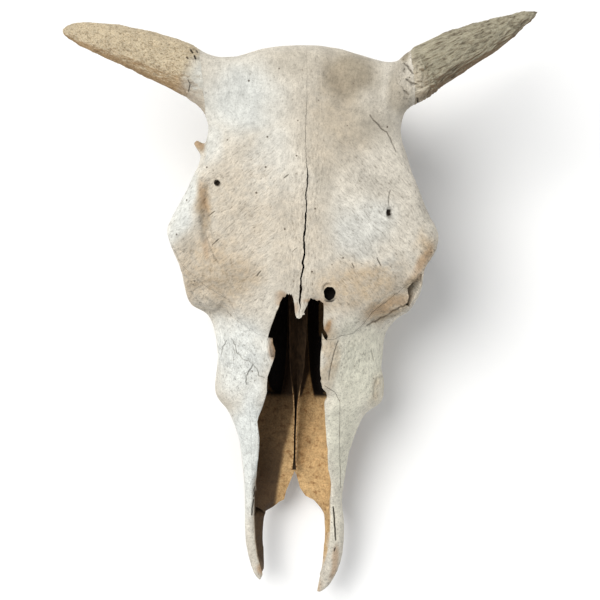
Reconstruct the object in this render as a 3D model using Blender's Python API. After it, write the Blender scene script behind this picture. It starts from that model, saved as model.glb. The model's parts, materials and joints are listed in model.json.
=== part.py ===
"""Cow skull at life size: the cranium with both horn cores, without its lower jaw.

Frame: +Z up, the nose along -Y, the poll along +Y. The skull lies on the chewing faces of its
cheek teeth and on the tips of its two jugular processes, which all end on one level, z = 0.

The skull is first shaped whole, about its own midplane, in millimetres. It is then parted along
its sutures into the bones that a person would name, each a closed solid of its own.
"""

import math
from collections import namedtuple

import bmesh
import bpy
import numpy as np
from mathutils import Vector

MM = 0.001

# Driving sizes of the whole skull, in millimetres.
POLL_Y = 216.5
FOREHEAD_Z = 196.0
BROW_HALF_WIDTH = 116.0
WAIST_HALF_WIDTH = 80.0
HORN_BASE_X = 90.0
SNOUT_HALF_WIDTH = 46.0
PALATE_Z = 28.0
NASAL_FLOOR_Z = 45.0

# Working grain of the shaped bone and the face budget of the finished skull.
VOXEL = 2.4
SMOOTH_ROUNDS = 5
TARGET_TRIANGLES = 6100
SUTURE_GAP = 0.35

# A cross-section of a body that runs along Y. Its widest level is z, from which the outline
# rises by up and falls by down. A power of 2 is an ellipse, and a larger one is boxier.
Section = namedtuple("Section", "y z half up down x top base", defaults=(0.0, 2.4, 2.4))
# A knot of a limb: a point with the half width across and the half height along the other way.
Knot = namedtuple("Knot", "x y z across upward")

ROOF = [
    Section(POLL_Y, 172, 16, 6, 12, -7),
    Section(214, 172, 38, 12, 18, -7),
    Section(209, 171, 60, 19, 24, -5),
    Section(203, 170, 82, 25, 29, -3),
    Section(193, 168, 90, FOREHEAD_Z - 168, 34),
    Section(170, 166, 88, 28, 32),
    Section(146, 164, WAIST_HALF_WIDTH, 27, 28),
    Section(125, 163, 86, 26, 26),
    Section(100, 162, 97, 24, 24),
    Section(80, 161, 108, 21.5, 20),
    Section(59, 159, BROW_HALF_WIDTH, 19.5, 16),
    Section(44, 157, 113, 18, 14),
    Section(30, 153, 104, 19, 14),
    Section(15, 147, 91, 21, 16),
    Section(0, 138, 72, 25, 22),
    Section(-20, 126, 54, 28, 30),
    Section(-36, 116, 38, 30, 30),
]

FACE = [
    Section(70, 95, 40, 40, 50),
    Section(45, 100, 46, 50, 62),
    Section(25, 100, 66, 48, 70),
    Section(8, 100, 97, 44, 72, top=1.7, base=1.25),
    Section(-6, 98, 94, 50, 70, top=1.6, base=1.25),
    Section(-20, 94, 80, 57, 66, top=1.5, base=1.4),
    Section(-40, 88, 74, 62, 88 - PALATE_Z, top=1.5, base=1.7),
    Section(-60, 82, 73.5, 58, 82 - PALATE_Z, top=1.5, base=1.8),
    Section(-72, 79, 75.5, 54, 79 - PALATE_Z, x=0.5, top=1.5, base=1.7),
    Section(-82, 77, 77, 51, 77 - PALATE_Z, x=0.5, top=1.5, base=1.6),
    Section(-91, 75, 73.5, 48, 75 - PALATE_Z, x=0.5, top=1.6, base=1.6),
    Section(-100, 72, 64, 45, 72 - PALATE_Z, top=1.8, base=1.9),
    Section(-114, 68, 55.5, 42, 68 - PALATE_Z, top=1.9, base=2.2),
    Section(-137, 60, 49, 38, 60 - PALATE_Z, top=2.0, base=2.4),
    Section(-158, 55, SNOUT_HALF_WIDTH, 31, 26),
    Section(-185, 50, 44.5, 22, 18),
    Section(-205, 46, 44, 14, 12),
]

BRAINCASE = [
    Section(207, 122, 45, 45, 48),
    Section(198, 118, 66, 62, 60),
    Section(184, 114, 74, 66, 62),
    Section(168, 110, 63, 66, 60),
    Section(150, 108, 54, 66, 60),
    Section(120, 108, 52, 64, 60),
    Section(90, 108, 47, 62, 54),
    Section(60, 108, 42, 58, 50),
    Section(38, 108, 40, 52, 46),
]

BONE_CREAM = (0.74, 0.69, 0.60)
BONE_COOL = (0.76, 0.75, 0.71)
BONE_GREY = (0.66, 0.63, 0.54)
HORN_TAN = (0.56, 0.47, 0.34)
HORN_GREY = (0.44, 0.40, 0.31)
INNER_BROWN = (0.36, 0.25, 0.15)


def remove_all():
    """Start from an empty scene."""
    for item in list(bpy.data.objects):
        bpy.data.objects.remove(item, do_unlink=True)


def smooth_rows(rows, steps):
    """Rows of numbers with a smooth curve of further rows between each pair."""
    table = np.array(rows, dtype=float)
    padded = np.vstack([2 * table[0] - table[1], table, 2 * table[-1] - table[-2]])
    out = []
    for i in range(1, len(padded) - 2):
        before, here, there, after = padded[i - 1:i + 3]
        for t in np.linspace(0.0, 1.0, steps, endpoint=False):
            out.append(0.5 * (2 * here + (there - before) * t
                              + (2 * before - 5 * here + 4 * there - after) * t ** 2
                              + (3 * here - before - 3 * there + after) * t ** 3))
    out.append(table[-1])
    return np.array(out)


def make_object(name, points, faces):
    """A closed mesh object from points in millimetres, with its faces turned outward."""
    mesh = bpy.data.meshes.new(name)
    mesh.from_pydata([tuple(p) for p in points], [], faces)
    shape = bmesh.new()
    shape.from_mesh(mesh)
    bmesh.ops.recalc_face_normals(shape, faces=shape.faces)
    shape.to_mesh(mesh)
    shape.free()
    item = bpy.data.objects.new(name, mesh)
    bpy.context.scene.collection.objects.link(item)
    return item


def skin_rings(name, rings):
    """A closed body over equal rings of points, with a fan at each end."""
    rings = np.array(rings)
    count, sides = rings.shape[:2]
    points = list(rings.reshape(-1, 3))
    faces = []
    for i in range(count - 1):
        for j in range(sides):
            k = (j + 1) % sides
            faces.append((i * sides + j, i * sides + k, (i + 1) * sides + k, (i + 1) * sides + j))
    for ring in (0, count - 1):
        points.append(rings[ring].mean(axis=0))
        centre = len(points) - 1
        faces.extend((centre, ring * sides + j, ring * sides + (j + 1) % sides) for j in range(sides))
    return make_object(name, points, faces)


def super_ellipse(angle, power):
    """The point of a unit super-ellipse at an angle."""
    c, s = math.cos(angle), math.sin(angle)
    return (math.copysign(abs(c) ** (2 / power), c), math.copysign(abs(s) ** (2 / power), s))


def body_along_y(name, sections, steps=4, sides=56):
    """A closed body through sections that stand across the skull's length."""
    rings = []
    for y, z, half, up, down, x, top, base in smooth_rows(sections, steps):
        ring = []
        for j in range(sides):
            angle = 2 * math.pi * j / sides
            rise = math.sin(angle) >= 0
            across, height = super_ellipse(angle, top if rise else base)
            ring.append((x + half * across, y, z + height * (up if rise else down)))
        rings.append(ring)
    return skin_rings(name, rings)


def limb(name, knots, steps=5, sides=20, power=2.0):
    """A closed body along a smooth path, with its cross-section square to the path."""
    rows = smooth_rows(knots, steps)
    path = rows[:, :3]
    along = np.gradient(path, axis=0)
    rings = []
    for point, step, (across, upward) in zip(path, along, rows[:, 3:5]):
        forward = Vector(step).normalized()
        guide = Vector((0, 1, 0)) if abs(forward.z) > 0.8 else Vector((0, 0, 1))
        side = forward.cross(guide).normalized()
        rise = side.cross(forward).normalized()
        ring = []
        for j in range(sides):
            u, v = super_ellipse(2 * math.pi * j / sides, power)
            ring.append(Vector(point) + side * (across * u) + rise * (upward * v))
        rings.append(ring)
    return skin_rings(name, rings)


def ball(name, centre, radii):
    """An ellipsoid."""
    mesh = bpy.data.meshes.new(name)
    shape = bmesh.new()
    bmesh.ops.create_icosphere(shape, subdivisions=4, radius=1.0)
    for vertex in shape.verts:
        vertex.co = Vector(centre) + Vector([c * r for c, r in zip(vertex.co, radii)])
    shape.to_mesh(mesh)
    shape.free()
    item = bpy.data.objects.new(name, mesh)
    bpy.context.scene.collection.objects.link(item)
    return item


def mirrored(knots, side):
    """The same knots or sections on the +X side (1) or the -X side (-1)."""
    return [knot._replace(x=knot.x * side) for knot in knots]


# ---------------------------------------------------------------- the bones' own forms

ORBIT_CENTRE = (100.0, 37.0, 126.0)
ORBIT_RADIUS = 30.5
ORBIT_TURN = math.radians(12)
RIM_THICKNESS = 6.0

TOOTH_LENGTHS = (16, 18, 19, 24, 27, 29)
TOOTH_WIDTHS = (13, 17, 19, 22, 24, 22)
TOOTH_ROW_FRONT_Y = -108.0
TOOTH_ROW_FRONT_X = 43.0
TOOTH_ROW_REAR_X = 57.0


def orbit_ring(side):
    """The raised rim round one eye socket."""
    cx, cy, cz = ORBIT_CENTRE
    rings = []
    turns, sides = 40, 14
    for i in range(turns):
        a = 2 * math.pi * i / turns
        reach = Vector((math.sin(ORBIT_TURN) * math.cos(a), math.cos(ORBIT_TURN) * math.cos(a), math.sin(a)))
        axis = Vector((math.cos(ORBIT_TURN), -math.sin(ORBIT_TURN), 0))
        ring = []
        for j in range(sides):
            b = 2 * math.pi * j / sides
            radius = ORBIT_RADIUS + RIM_THICKNESS * (0.3 + math.cos(b))
            point = reach * radius + axis * (RIM_THICKNESS * 1.3 * math.sin(b))
            ring.append(((cx + point.x) * side, cy + point.y, cz + point.z))
        rings.append(ring)
    points = [p for ring in rings for p in ring]
    faces = []
    for i in range(turns):
        for j in range(sides):
            k, n = (j + 1) % sides, (i + 1) % turns
            faces.append((i * sides + j, i * sides + k, n * sides + k, n * sides + j))
    return make_object("orbit_ring", points, faces)


def zygomatic_arch(side):
    """The bar under and behind the orbit, back to the temporal bone."""
    arch = [
        Knot(64, -36, 82, 9, 12), Knot(82, -12, 91, 8, 16), Knot(97, 6, 92, 6.5, 17),
        Knot(102.5, 26, 89, 6, 15), Knot(103, 50, 87, 5.5, 13),
        Knot(101, 76, 91, 5.5, 12), Knot(95, 100, 96, 5.5, 11), Knot(87, 124, 99, 6, 10),
        Knot(76, 142, 99, 9, 10), Knot(60, 152, 98, 12, 12), Knot(45, 154, 100, 14, 14),
    ]
    bar = [Knot(106, 66, 160, 9, 6), Knot(105, 70, 132, 6, 7), Knot(101, 74, 92, 7, 8)]
    pieces = [limb("arch", mirrored(arch, side)), limb("postorbital_bar", mirrored(bar, side))]
    if side < 0:
        spur = [Knot(-88, 112, 97, 6, 9), Knot(-95, 129, 96, 5.5, 8), Knot(-100, 141, 95, 3.5, 4)]
        pieces.append(limb("broken_spur", spur))
    return pieces


def cheek_teeth(side):
    """Six worn cheek teeth on one side, the premolars in front of the two-lobed molars."""
    pieces = []
    total = sum(TOOTH_LENGTHS)
    y = TOOTH_ROW_FRONT_Y
    for length, width in zip(TOOTH_LENGTHS, TOOTH_WIDTHS):
        middle = y + length / 2
        share = (middle - TOOTH_ROW_FRONT_Y) / total
        x = TOOTH_ROW_FRONT_X + (TOOTH_ROW_REAR_X - TOOTH_ROW_FRONT_X) * share ** 0.8
        column = [
            Knot(x + 1, middle, -4, width / 2 - 1.5, length / 2 - 0.6),
            Knot(x, middle, 10, width / 2, length / 2 - 0.2),
            Knot(x - 2, middle, 26, width / 2, length / 2 + 1),
            Knot(x - 6, middle, 62, width / 2 + 2, length / 2 + 2),
        ]
        pieces.append(limb("tooth", mirrored(column, side), steps=3, power=3.5))
        y += length
    return pieces


def alveolar_process(side):
    """The ridge of jaw bone that holds the cheek teeth of one side."""
    return body_along_y("tooth_ridge", mirrored([
        Section(52, 50, 6, 14, 12, 48), Section(38, 46, 13, 26, 24, 56), Section(10, 44, 15, 36, 24, 56),
        Section(-30, 42, 14, 36, 23, 53), Section(-70, 42, 13, 30, 21, 49), Section(-100, 44, 10, 24, 20, 45),
        Section(-116, 46, 6, 18, 16, 43),
    ], side), sides=32)


def palate_plate():
    """The flat hard palate between the tooth rows and in front of them."""
    z = (PALATE_Z + NASAL_FLOOR_Z) / 2
    rise = (NASAL_FLOOR_Z - PALATE_Z) / 2
    return body_along_y("palate", [
        Section(22, z, 34, rise, rise, top=5, base=5), Section(-30, z, 42, rise, rise, top=5, base=5),
        Section(-90, z - 1, 40, rise, rise, top=5, base=5), Section(-130, z, 38, rise, rise, top=5, base=5),
        Section(-165, z + 1, 38, rise - 1, rise - 1, top=5, base=4), Section(-205, z + 1, 36, 5, 6, top=4, base=4),
    ])


def prong(side):
    """One premaxilla, a long flat prong that bends towards its fellow at the tip."""
    if side > 0:
        sections = [
            Section(-140, 58, 8, 24, 14, 37), Section(-170, 50, 8.5, 20, 14, 36),
            Section(-200, 44, 9.5, 15, 11, 36.5), Section(-225, 40, 10, 10, 9, 37),
            Section(-242, 38, 9, 8, 8, 35.5), Section(-256, 36, 7.5, 6, 6, 31),
            Section(-266, 35, 5, 4.5, 4.5, 26.5), Section(-271, 35, 3, 3, 3, 24),
        ]
    else:
        sections = [
            Section(-140, 58, 8, 24, 14, -38), Section(-170, 50, 8.5, 20, 14, -37.5),
            Section(-200, 44, 9, 15, 11, -36.5), Section(-222, 40, 8.5, 10, 9, -36),
            Section(-238, 38, 7.5, 8, 8, -34.5), Section(-250, 36, 6.5, 6, 6, -32.5),
            Section(-258, 35, 4.5, 4.5, 4.5, -31.5), Section(-263, 35, 2.5, 3, 3, -31.5),
        ]
    return body_along_y("prong", sections, sides=28)


def occiput_forms(side):
    """The condyle, the jugular process, the mastoid corner and the ear capsule of one side."""
    process = [
        Knot(54, 186, 88, 16, 14), Knot(58, 182, 62, 11, 15), Knot(62, 176, 38, 7, 13),
        Knot(63, 171, 16, 5.5, 9), Knot(62, 168, -4, 5, 6.5),
    ]
    return [
        ball("condyle", (27 * side, 197, 66), (20, 16, 23)),
        limb("jugular_process", mirrored(process, side)),
        ball("mastoid", (76 * side, 178, 106), (18, 13, 28)),
        ball("ear_capsule", (43 * side, 140, 50), (13, 19, 17)),
        limb("ear_bridge", mirrored([Knot(24, 132, 60, 14, 12), Knot(44, 142, 62, 16, 12), Knot(68, 156, 92, 14, 14)], side)),
        ball("nuchal_swell", (50 * side, 190, 140), (40, 18, 34)),
        ball("lacrimal", (78 * side, 4, 124), (21, 15, 25)),
    ]


def skull_base():
    """The bar of bone under the braincase and the wings that stand beside the throat."""
    pieces = [limb("base_bar", [
        Knot(0, 196, 56, 24, 10), Knot(0, 160, 50, 20, 10), Knot(0, 120, 50, 15, 11), Knot(0, 70, 60, 13, 14),
    ])]
    for side in (-1, 1):
        wing = [
            Section(108, 60, 3, 6, 8, 22), Section(92, 56, 3.4, 14, 22, 22), Section(70, 54, 3.4, 20, 30, 22),
            Section(45, 52, 3.6, 24, 26, 22), Section(22, 52, 4, 24, 22, 24), Section(8, 50, 4, 20, 18, 26),
        ]
        pieces.append(body_along_y("wing", mirrored(wing, side), sides=24))
    return pieces


def vomer_forms():
    """The trough of the vomer on the midline of the nasal floor."""
    return [body_along_y("vomer", [
        Section(24, 80, 12, 30, 34), Section(-10, 72, 9.5, 22, 30), Section(-60, 62, 8, 15, 22),
        Section(-86, 56, 5, 12, 16), Section(-120, 51, 3.4, 9, 10), Section(-150, 46, 3, 5, 6),
    ], sides=24)]


def horn_core(side):
    """One horn core. The one on -X is stout and blunt, the one on +X straight and pointed."""
    if side < 0:
        knots = [
            Knot(-62, 176, 166, 26, 22), Knot(-84, 184, 166, 24, 22), Knot(-104, 194, 166, 23, 21.5),
            Knot(-128, 203, 165, 20, 19.5), Knot(-155, 212.5, 163, 16.5, 17), Knot(-184, 220, 160, 11.5, 12.5),
            Knot(-202, 222.5, 158, 7.5, 8), Knot(-210, 222.5, 157, 4.5, 5), Knot(-213, 221.5, 157, 2, 2.4),
        ]
    else:
        knots = [
            Knot(60, 172, 166, 24, 22), Knot(80, 183, 166, 23.5, 22), Knot(98, 196, 166, 22, 20.5),
            Knot(123, 211, 164, 18, 18), Knot(150, 225.5, 161, 13.5, 14), Knot(171, 237, 158, 9.5, 10),
            Knot(186, 246.5, 156, 6, 6.5), Knot(195, 253, 155.5, 2.4, 3),
        ]
    return limb("horn", knots, steps=6, sides=28)


def solid_forms():
    """Every form that adds bone."""
    pieces = [
        body_along_y("roof", ROOF), body_along_y("face", FACE), body_along_y("braincase", BRAINCASE),
    ]
    for side in (-1, 1):
        pieces.append(orbit_ring(side))
        pieces.append(horn_core(side))
        pieces.append(prong(side))
        pieces.append(alveolar_process(side))
        pieces.extend(zygomatic_arch(side))
        pieces.extend(cheek_teeth(side))
        pieces.extend(occiput_forms(side))
    pieces.append(palate_plate())
    pieces.extend(skull_base())
    return pieces


# ---------------------------------------------------------------- the hollows

SINUS_HOLE = (24.0, 6.0)
SINUS_HOLE_RADIUS = 5.8
OPENING_TOP_Z = 240.0


def nasal_cavity():
    """The air way from the open nose back to the throat, and the notches of its bony rim."""
    floor = NASAL_FLOOR_Z
    cavity = body_along_y("cavity", [
        Section(82, 44, 9, 6, 12), Section(68, 42, 14, 14, 26), Section(48, 46, 16, 22, 40),
        Section(30, 66, 17, 26, 36), Section(14, 84, 24, 50, 84 - floor), Section(0, 88, 32, 57, 88 - floor),
        Section(-40, 80, 38.5, 59, 80 - floor, base=3.2), Section(-78, 74, 40, 50, 74 - floor, base=3.2),
        Section(-110, 66, 40, 40, 66 - floor, base=3.2), Section(-137, 60, 38, 36, 60 - floor + 2, base=3.2),
        Section(-170, 56, 33, 36, 56 - floor + 4, base=3.2), Section(-215, 52, 29, 40, 52 - floor + 6, base=3.2),
        Section(-245, 50, 24, 40, 20), Section(-290, 48, 22, 40, 30),
    ])
    mouth = body_along_y("mouth", [
        Section(-13, 120, 21, 70, 40, -1, top=6, base=6), Section(-30, 120, 24.5, 70, 40, -3.5, top=6, base=6),
        Section(-50, 115, 21, 80, 40, -2, top=6, base=6), Section(-80, 110, 24.5, 80, 45, -4, top=6, base=6),
        Section(-105, 100, 29, 90, 45, -5.5, top=6, base=6), Section(-147, 90, 32, 90, 40, -4, top=6, base=6),
        Section(-185, 80, 34.5, 90, 35, -3.5, top=6, base=6), Section(-222, 70, 34, 90, 30, -2, top=6, base=6),
        Section(-250, 60, 25, 90, 30, -2, top=6, base=6),
    ], sides=40)
    notches = [
        limb("notch", [Knot(x, y, 90, 6, 17), Knot(x, y, OPENING_TOP_Z, 6, 17)], power=2.6)
        for x, y in ((-11.5, -13.0), (11.5, -14.0))
    ]
    return [cavity, mouth] + notches


def palate_mouth():
    """The space between the prongs, with the V that runs back into the hard palate."""
    gap = body_along_y("between_prongs", [
        Section(-157, 40, 1.5, 40, 40), Section(-175, 40, 9, 40, 40), Section(-186, 40, 17, 40, 40),
        Section(-196, 40, 27, 40, 40), Section(-230, 40, 27.5, 40, 40), Section(-252, 40, 22, 40, 40),
        Section(-300, 40, 19, 40, 40),
    ])
    return [gap]


def orbit_hollow(side):
    """One eye socket, a cone that runs inward and back."""
    return limb("orbit_hollow", mirrored([
        Knot(140, 26, 126, 29, 29), Knot(104, 38, 126, 29, 29), Knot(84, 46, 125, 24, 25),
        Knot(60, 56, 122, 14, 15), Knot(48, 62, 120, 6, 6),
    ], side), sides=32)


def palatine_recess(side):
    """The deep pocket in the nasal floor beside the vomer, closed below by the palate."""
    return body_along_y("recess", mirrored([
        Section(8, 50, 9, 16, 12, 18), Section(-10, 48, 12, 16, 13, 21, base=4),
        Section(-60, 47, 11, 16, 12, 22, base=4), Section(-80, 46, 7.5, 16, 11, 21, base=4),
        Section(-87, 46, 5, 12, 8, 21),
    ], side), sides=28)


def hollow_forms():
    """Every form that takes bone away."""
    cutters = nasal_cavity() + palate_mouth()
    cutters.append(limb("foramen", [Knot(0, 232, 82, 18, 17), Knot(0, 196, 84, 17, 16), Knot(0, 168, 86, 12, 12)]))
    x, y = SINUS_HOLE
    cutters.append(limb("sinus_hole", [
        Knot(x, y, 134, 7, 7), Knot(x, y, 150, SINUS_HOLE_RADIUS, SINUS_HOLE_RADIUS),
        Knot(x, y, 200, SINUS_HOLE_RADIUS, SINUS_HOLE_RADIUS),
    ]))
    for side in (-1, 1):
        cutters.append(orbit_hollow(side))
        cutters.append(palatine_recess(side))
    return cutters


# ---------------------------------------------------------------- working the bone

def join(pieces, name):
    """One object that holds all the pieces."""
    joined = bmesh.new()
    for piece in pieces:
        joined.from_mesh(piece.data)
        bpy.data.objects.remove(piece, do_unlink=True)
    mesh = bpy.data.meshes.new(name)
    joined.to_mesh(mesh)
    joined.free()
    item = bpy.data.objects.new(name, mesh)
    bpy.context.scene.collection.objects.link(item)
    return item


def bake(item):
    """Replace an object's mesh by the one that its modifiers give."""
    graph = bpy.context.evaluated_depsgraph_get()
    mesh = bpy.data.meshes.new_from_object(item.evaluated_get(graph))
    item.modifiers.clear()
    item.data = mesh
    return item


def fuse(item, voxel):
    """Weld overlapping bodies into one closed skin."""
    remesh = item.modifiers.new("fuse", "REMESH")
    remesh.mode = "VOXEL"
    remesh.voxel_size = voxel
    return bake(item)


def boolean(item, other, operation):
    """Cut or keep by another body."""
    cut = item.modifiers.new(operation.lower(), "BOOLEAN")
    cut.operation = operation
    cut.solver = "EXACT"
    cut.object = other
    return bake(item)


def largest_body(item):
    """Keep only the largest connected body of an object."""
    shape = bmesh.new()
    shape.from_mesh(item.data)
    unseen = set(shape.verts)
    bodies = []
    while unseen:
        front = [unseen.pop()]
        body = list(front)
        while front:
            vertex = front.pop()
            for edge in vertex.link_edges:
                other = edge.other_vert(vertex)
                if other in unseen:
                    unseen.remove(other)
                    front.append(other)
                    body.append(other)
        bodies.append(body)
    bodies.sort(key=len, reverse=True)
    for body in bodies[1:]:
        bmesh.ops.delete(shape, geom=body, context="VERTS")
    shape.to_mesh(item.data)
    shape.free()
    return item


def shape_whole_skull():
    """The whole skull as one closed skin of few triangles, still in millimetres."""
    skull = fuse(join(solid_forms(), "skull"), VOXEL)
    hollows = fuse(join(hollow_forms(), "hollows"), VOXEL)
    skull = boolean(skull, hollows, "DIFFERENCE")
    bpy.data.objects.remove(hollows, do_unlink=True)
    skull = fuse(join([skull] + vomer_forms(), "skull"), VOXEL)
    smooth = skull.modifiers.new("smooth", "SMOOTH")
    smooth.factor = 0.5
    smooth.iterations = SMOOTH_ROUNDS
    bake(skull)
    largest_body(skull)
    thin = skull.modifiers.new("thin", "DECIMATE")
    thin.ratio = TARGET_TRIANGLES / (2.0 * len(skull.data.polygons))
    thin.use_collapse_triangulate = True
    return bake(skull)


# ---------------------------------------------------------------- parting into bones

REACH = 400.0
FRONTAL_FLOOR = ((0, 60, 126), (0, 0.075, -1))
FRONTAL_FRONT_Y = -33.0
ZYGOMATIC_FLOOR_Z = 71.0
ZYGOMATIC_INNER_X = 61.0
ZYGOMATIC_REAR_Y = 139.0
MAXILLA_REAR_Y = 23.0
TOOTH_RIDGE_REAR_Y = 54.0
PRONG_ROOT_Y = -168.0


def cell(name, planes, grow=0.0):
    """The convex space behind all the planes, each given by a point and its outward direction."""
    mesh = bpy.data.meshes.new(name)
    shape = bmesh.new()
    bmesh.ops.create_cube(shape, size=2 * REACH)
    for point, outward in planes:
        direction = Vector(outward).normalized()
        geometry = list(shape.verts) + list(shape.edges) + list(shape.faces)
        cut = bmesh.ops.bisect_plane(shape, geom=geometry, plane_co=Vector(point) + direction * grow,
                                     plane_no=direction, clear_outer=True)
        edges = [part for part in cut["geom_cut"] if isinstance(part, bmesh.types.BMEdge)]
        bmesh.ops.contextual_create(shape, geom=edges)
    bmesh.ops.recalc_face_normals(shape, faces=shape.faces)
    shape.to_mesh(mesh)
    shape.free()
    item = bpy.data.objects.new(name, mesh)
    bpy.context.scene.collection.objects.link(item)
    return item


def spaces(plane_sets, grow):
    """One body out of one or more convex spaces."""
    body = cell("space", plane_sets[0], grow)
    for planes in plane_sets[1:]:
        more = cell("space", planes, grow)
        boolean(body, more, "UNION")
        bpy.data.objects.remove(more, do_unlink=True)
    return body


def take_off(whole, name, plane_sets):
    """Part one bone from the rest, with a thin gap between the two."""
    bone = bpy.data.objects.new(name, whole.data.copy())
    bpy.context.scene.collection.objects.link(bone)
    inside = spaces(plane_sets, 0.0)
    boolean(bone, inside, "INTERSECT")
    bpy.data.objects.remove(inside, do_unlink=True)
    around = spaces(plane_sets, SUTURE_GAP)
    boolean(whole, around, "DIFFERENCE")
    bpy.data.objects.remove(around, do_unlink=True)
    return largest_body(bone)


def bone_plan():
    """Each bone's name, colour and spaces, in the order in which they are taken off."""
    plan = [("vomer", INNER_BROWN, [[
        ((0, 10, 0), (0, 1, 0)), ((0, -153, 0), (0, -1, 0)), ((0, 0, 47.5), (0, 0, -1)), ((0, 0, 112), (0, 0, 1)),
        ((11.5, 0, 0), (1, 0, 0)), ((-11.5, 0, 0), (-1, 0, 0)),
    ]])]
    floor_point, floor_out = FRONTAL_FLOOR
    for word, s, horn, face in (("left", -1, HORN_TAN, BONE_COOL), ("right", 1, HORN_GREY, BONE_GREY)):
        middle = ((0, 0, 0), (-s, 0, 0))
        plan.append((f"horn_core_{word}", horn, [[
            ((HORN_BASE_X * s, 0, 0), (-s, 0, 0)), ((0, 150, 0), (0, -1, 0)), ((0, 0, 130), (0, 0, -1)),
        ]]))
        plan.append((f"frontal_{word}", BONE_CREAM, [[
            (floor_point, floor_out), middle, ((0, FRONTAL_FRONT_Y, 0), (0, -1, 0)),
            ((28 * s, FRONTAL_FRONT_Y, 0), (0.664 * s, -0.748, 0)),
        ]]))
        plan.append((f"zygomatic_{word}", BONE_CREAM, [[
            (floor_point, [-part for part in floor_out]), ((0, 0, ZYGOMATIC_FLOOR_Z), (0, 0, -1)),
            ((ZYGOMATIC_INNER_X * s, 0, 0), (-s, 0, 0)), ((0, ZYGOMATIC_REAR_Y, 0), (0, 1, 0)),
            ((ZYGOMATIC_INNER_X * s, 5, 0), (-0.5 * s, -0.86, 0)),
        ]]))
        plan.append((f"premaxilla_{word}", face, [
            [middle, ((38.5 * s, 0, 0), (s, 0, 0)), ((0, -80, 0), (0, 1, 0)), ((0, -80, 96), (0, 0.55, -1))],
            [middle, ((0, PRONG_ROOT_Y, 0), (0, 1, 0))],
        ]))
        plan.append((f"maxilla_{word}", face, [
            [middle, ((0, MAXILLA_REAR_Y, 0), (0, 1, 0))],
            [((30 * s, 0, 0), (-s, 0, 0)), ((0, TOOTH_RIDGE_REAR_Y, 0), (0, 1, 0)),
             ((0, 0, ZYGOMATIC_FLOOR_Z), (0, 0, 1))],
            [((28 * s, FRONTAL_FRONT_Y, 0), (-0.664 * s, 0.748, 0)), (floor_point, floor_out),
             ((0, 45, 0), (0, 1, 0))],
        ]))
    return plan


def dress(item, colour):
    """Give a bone its own material and shade it smooth between sharp edges."""
    material = bpy.data.materials.new(f"{item.name}_bone")
    material.use_nodes = True
    shader = material.node_tree.nodes["Principled BSDF"]
    shader.inputs["Base Color"].default_value = (*colour, 1.0)
    shader.inputs["Roughness"].default_value = 0.8
    shader.inputs["Metallic"].default_value = 0.0
    item.data.materials.clear()
    item.data.materials.append(material)
    item.data.shade_smooth()
    item.data.set_sharp_from_angle(angle=math.radians(40))


def settle(bones):
    """Scale the bones to metres and put the origin under the middle of the skull's box."""
    corners = np.array([vertex.co for bone in bones for vertex in bone.data.vertices])
    low, high = corners.min(axis=0), corners.max(axis=0)
    shift = Vector(((low[0] + high[0]) / 2, (low[1] + high[1]) / 2, low[2]))
    print("shift", [round(part, 2) for part in shift])
    for bone in bones:
        for vertex in bone.data.vertices:
            vertex.co = (vertex.co - shift) * MM
        bone.data.update()


def main():
    """Shape the skull, part it into bones and dress each one."""
    remove_all()
    skull = shape_whole_skull()
    ground = cell("ground", [((0, 0, 0), (0, 0, -1))])
    boolean(skull, ground, "INTERSECT")
    bpy.data.objects.remove(ground, do_unlink=True)
    bones = []
    for name, colour, plane_sets in bone_plan():
        bone = take_off(skull, name, plane_sets)
        dress(bone, colour)
        bones.append(bone)
    skull.name = "braincase"
    dress(largest_body(skull), BONE_CREAM)
    bones.append(skull)
    settle(bones)
    for bone in bones:
        print(bone.name, sum(len(face.vertices) - 2 for face in bone.data.polygons))


main()
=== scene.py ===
"""Weathered cow skull seen from above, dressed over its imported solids.

Sizes are millimetres about the skull's own midline: X across, Y from the nose to the poll, Z up from
the floor that it lies on. Site turns them into the frame's metres.
"""

import json
import logging
import math
from dataclasses import dataclass
from enum import Enum
from functools import cache, cached_property
from typing import Callable, Iterable, Sequence

import bpy
import numpy as np
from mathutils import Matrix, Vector
from mathutils.bvhtree import BVHTree

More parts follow.
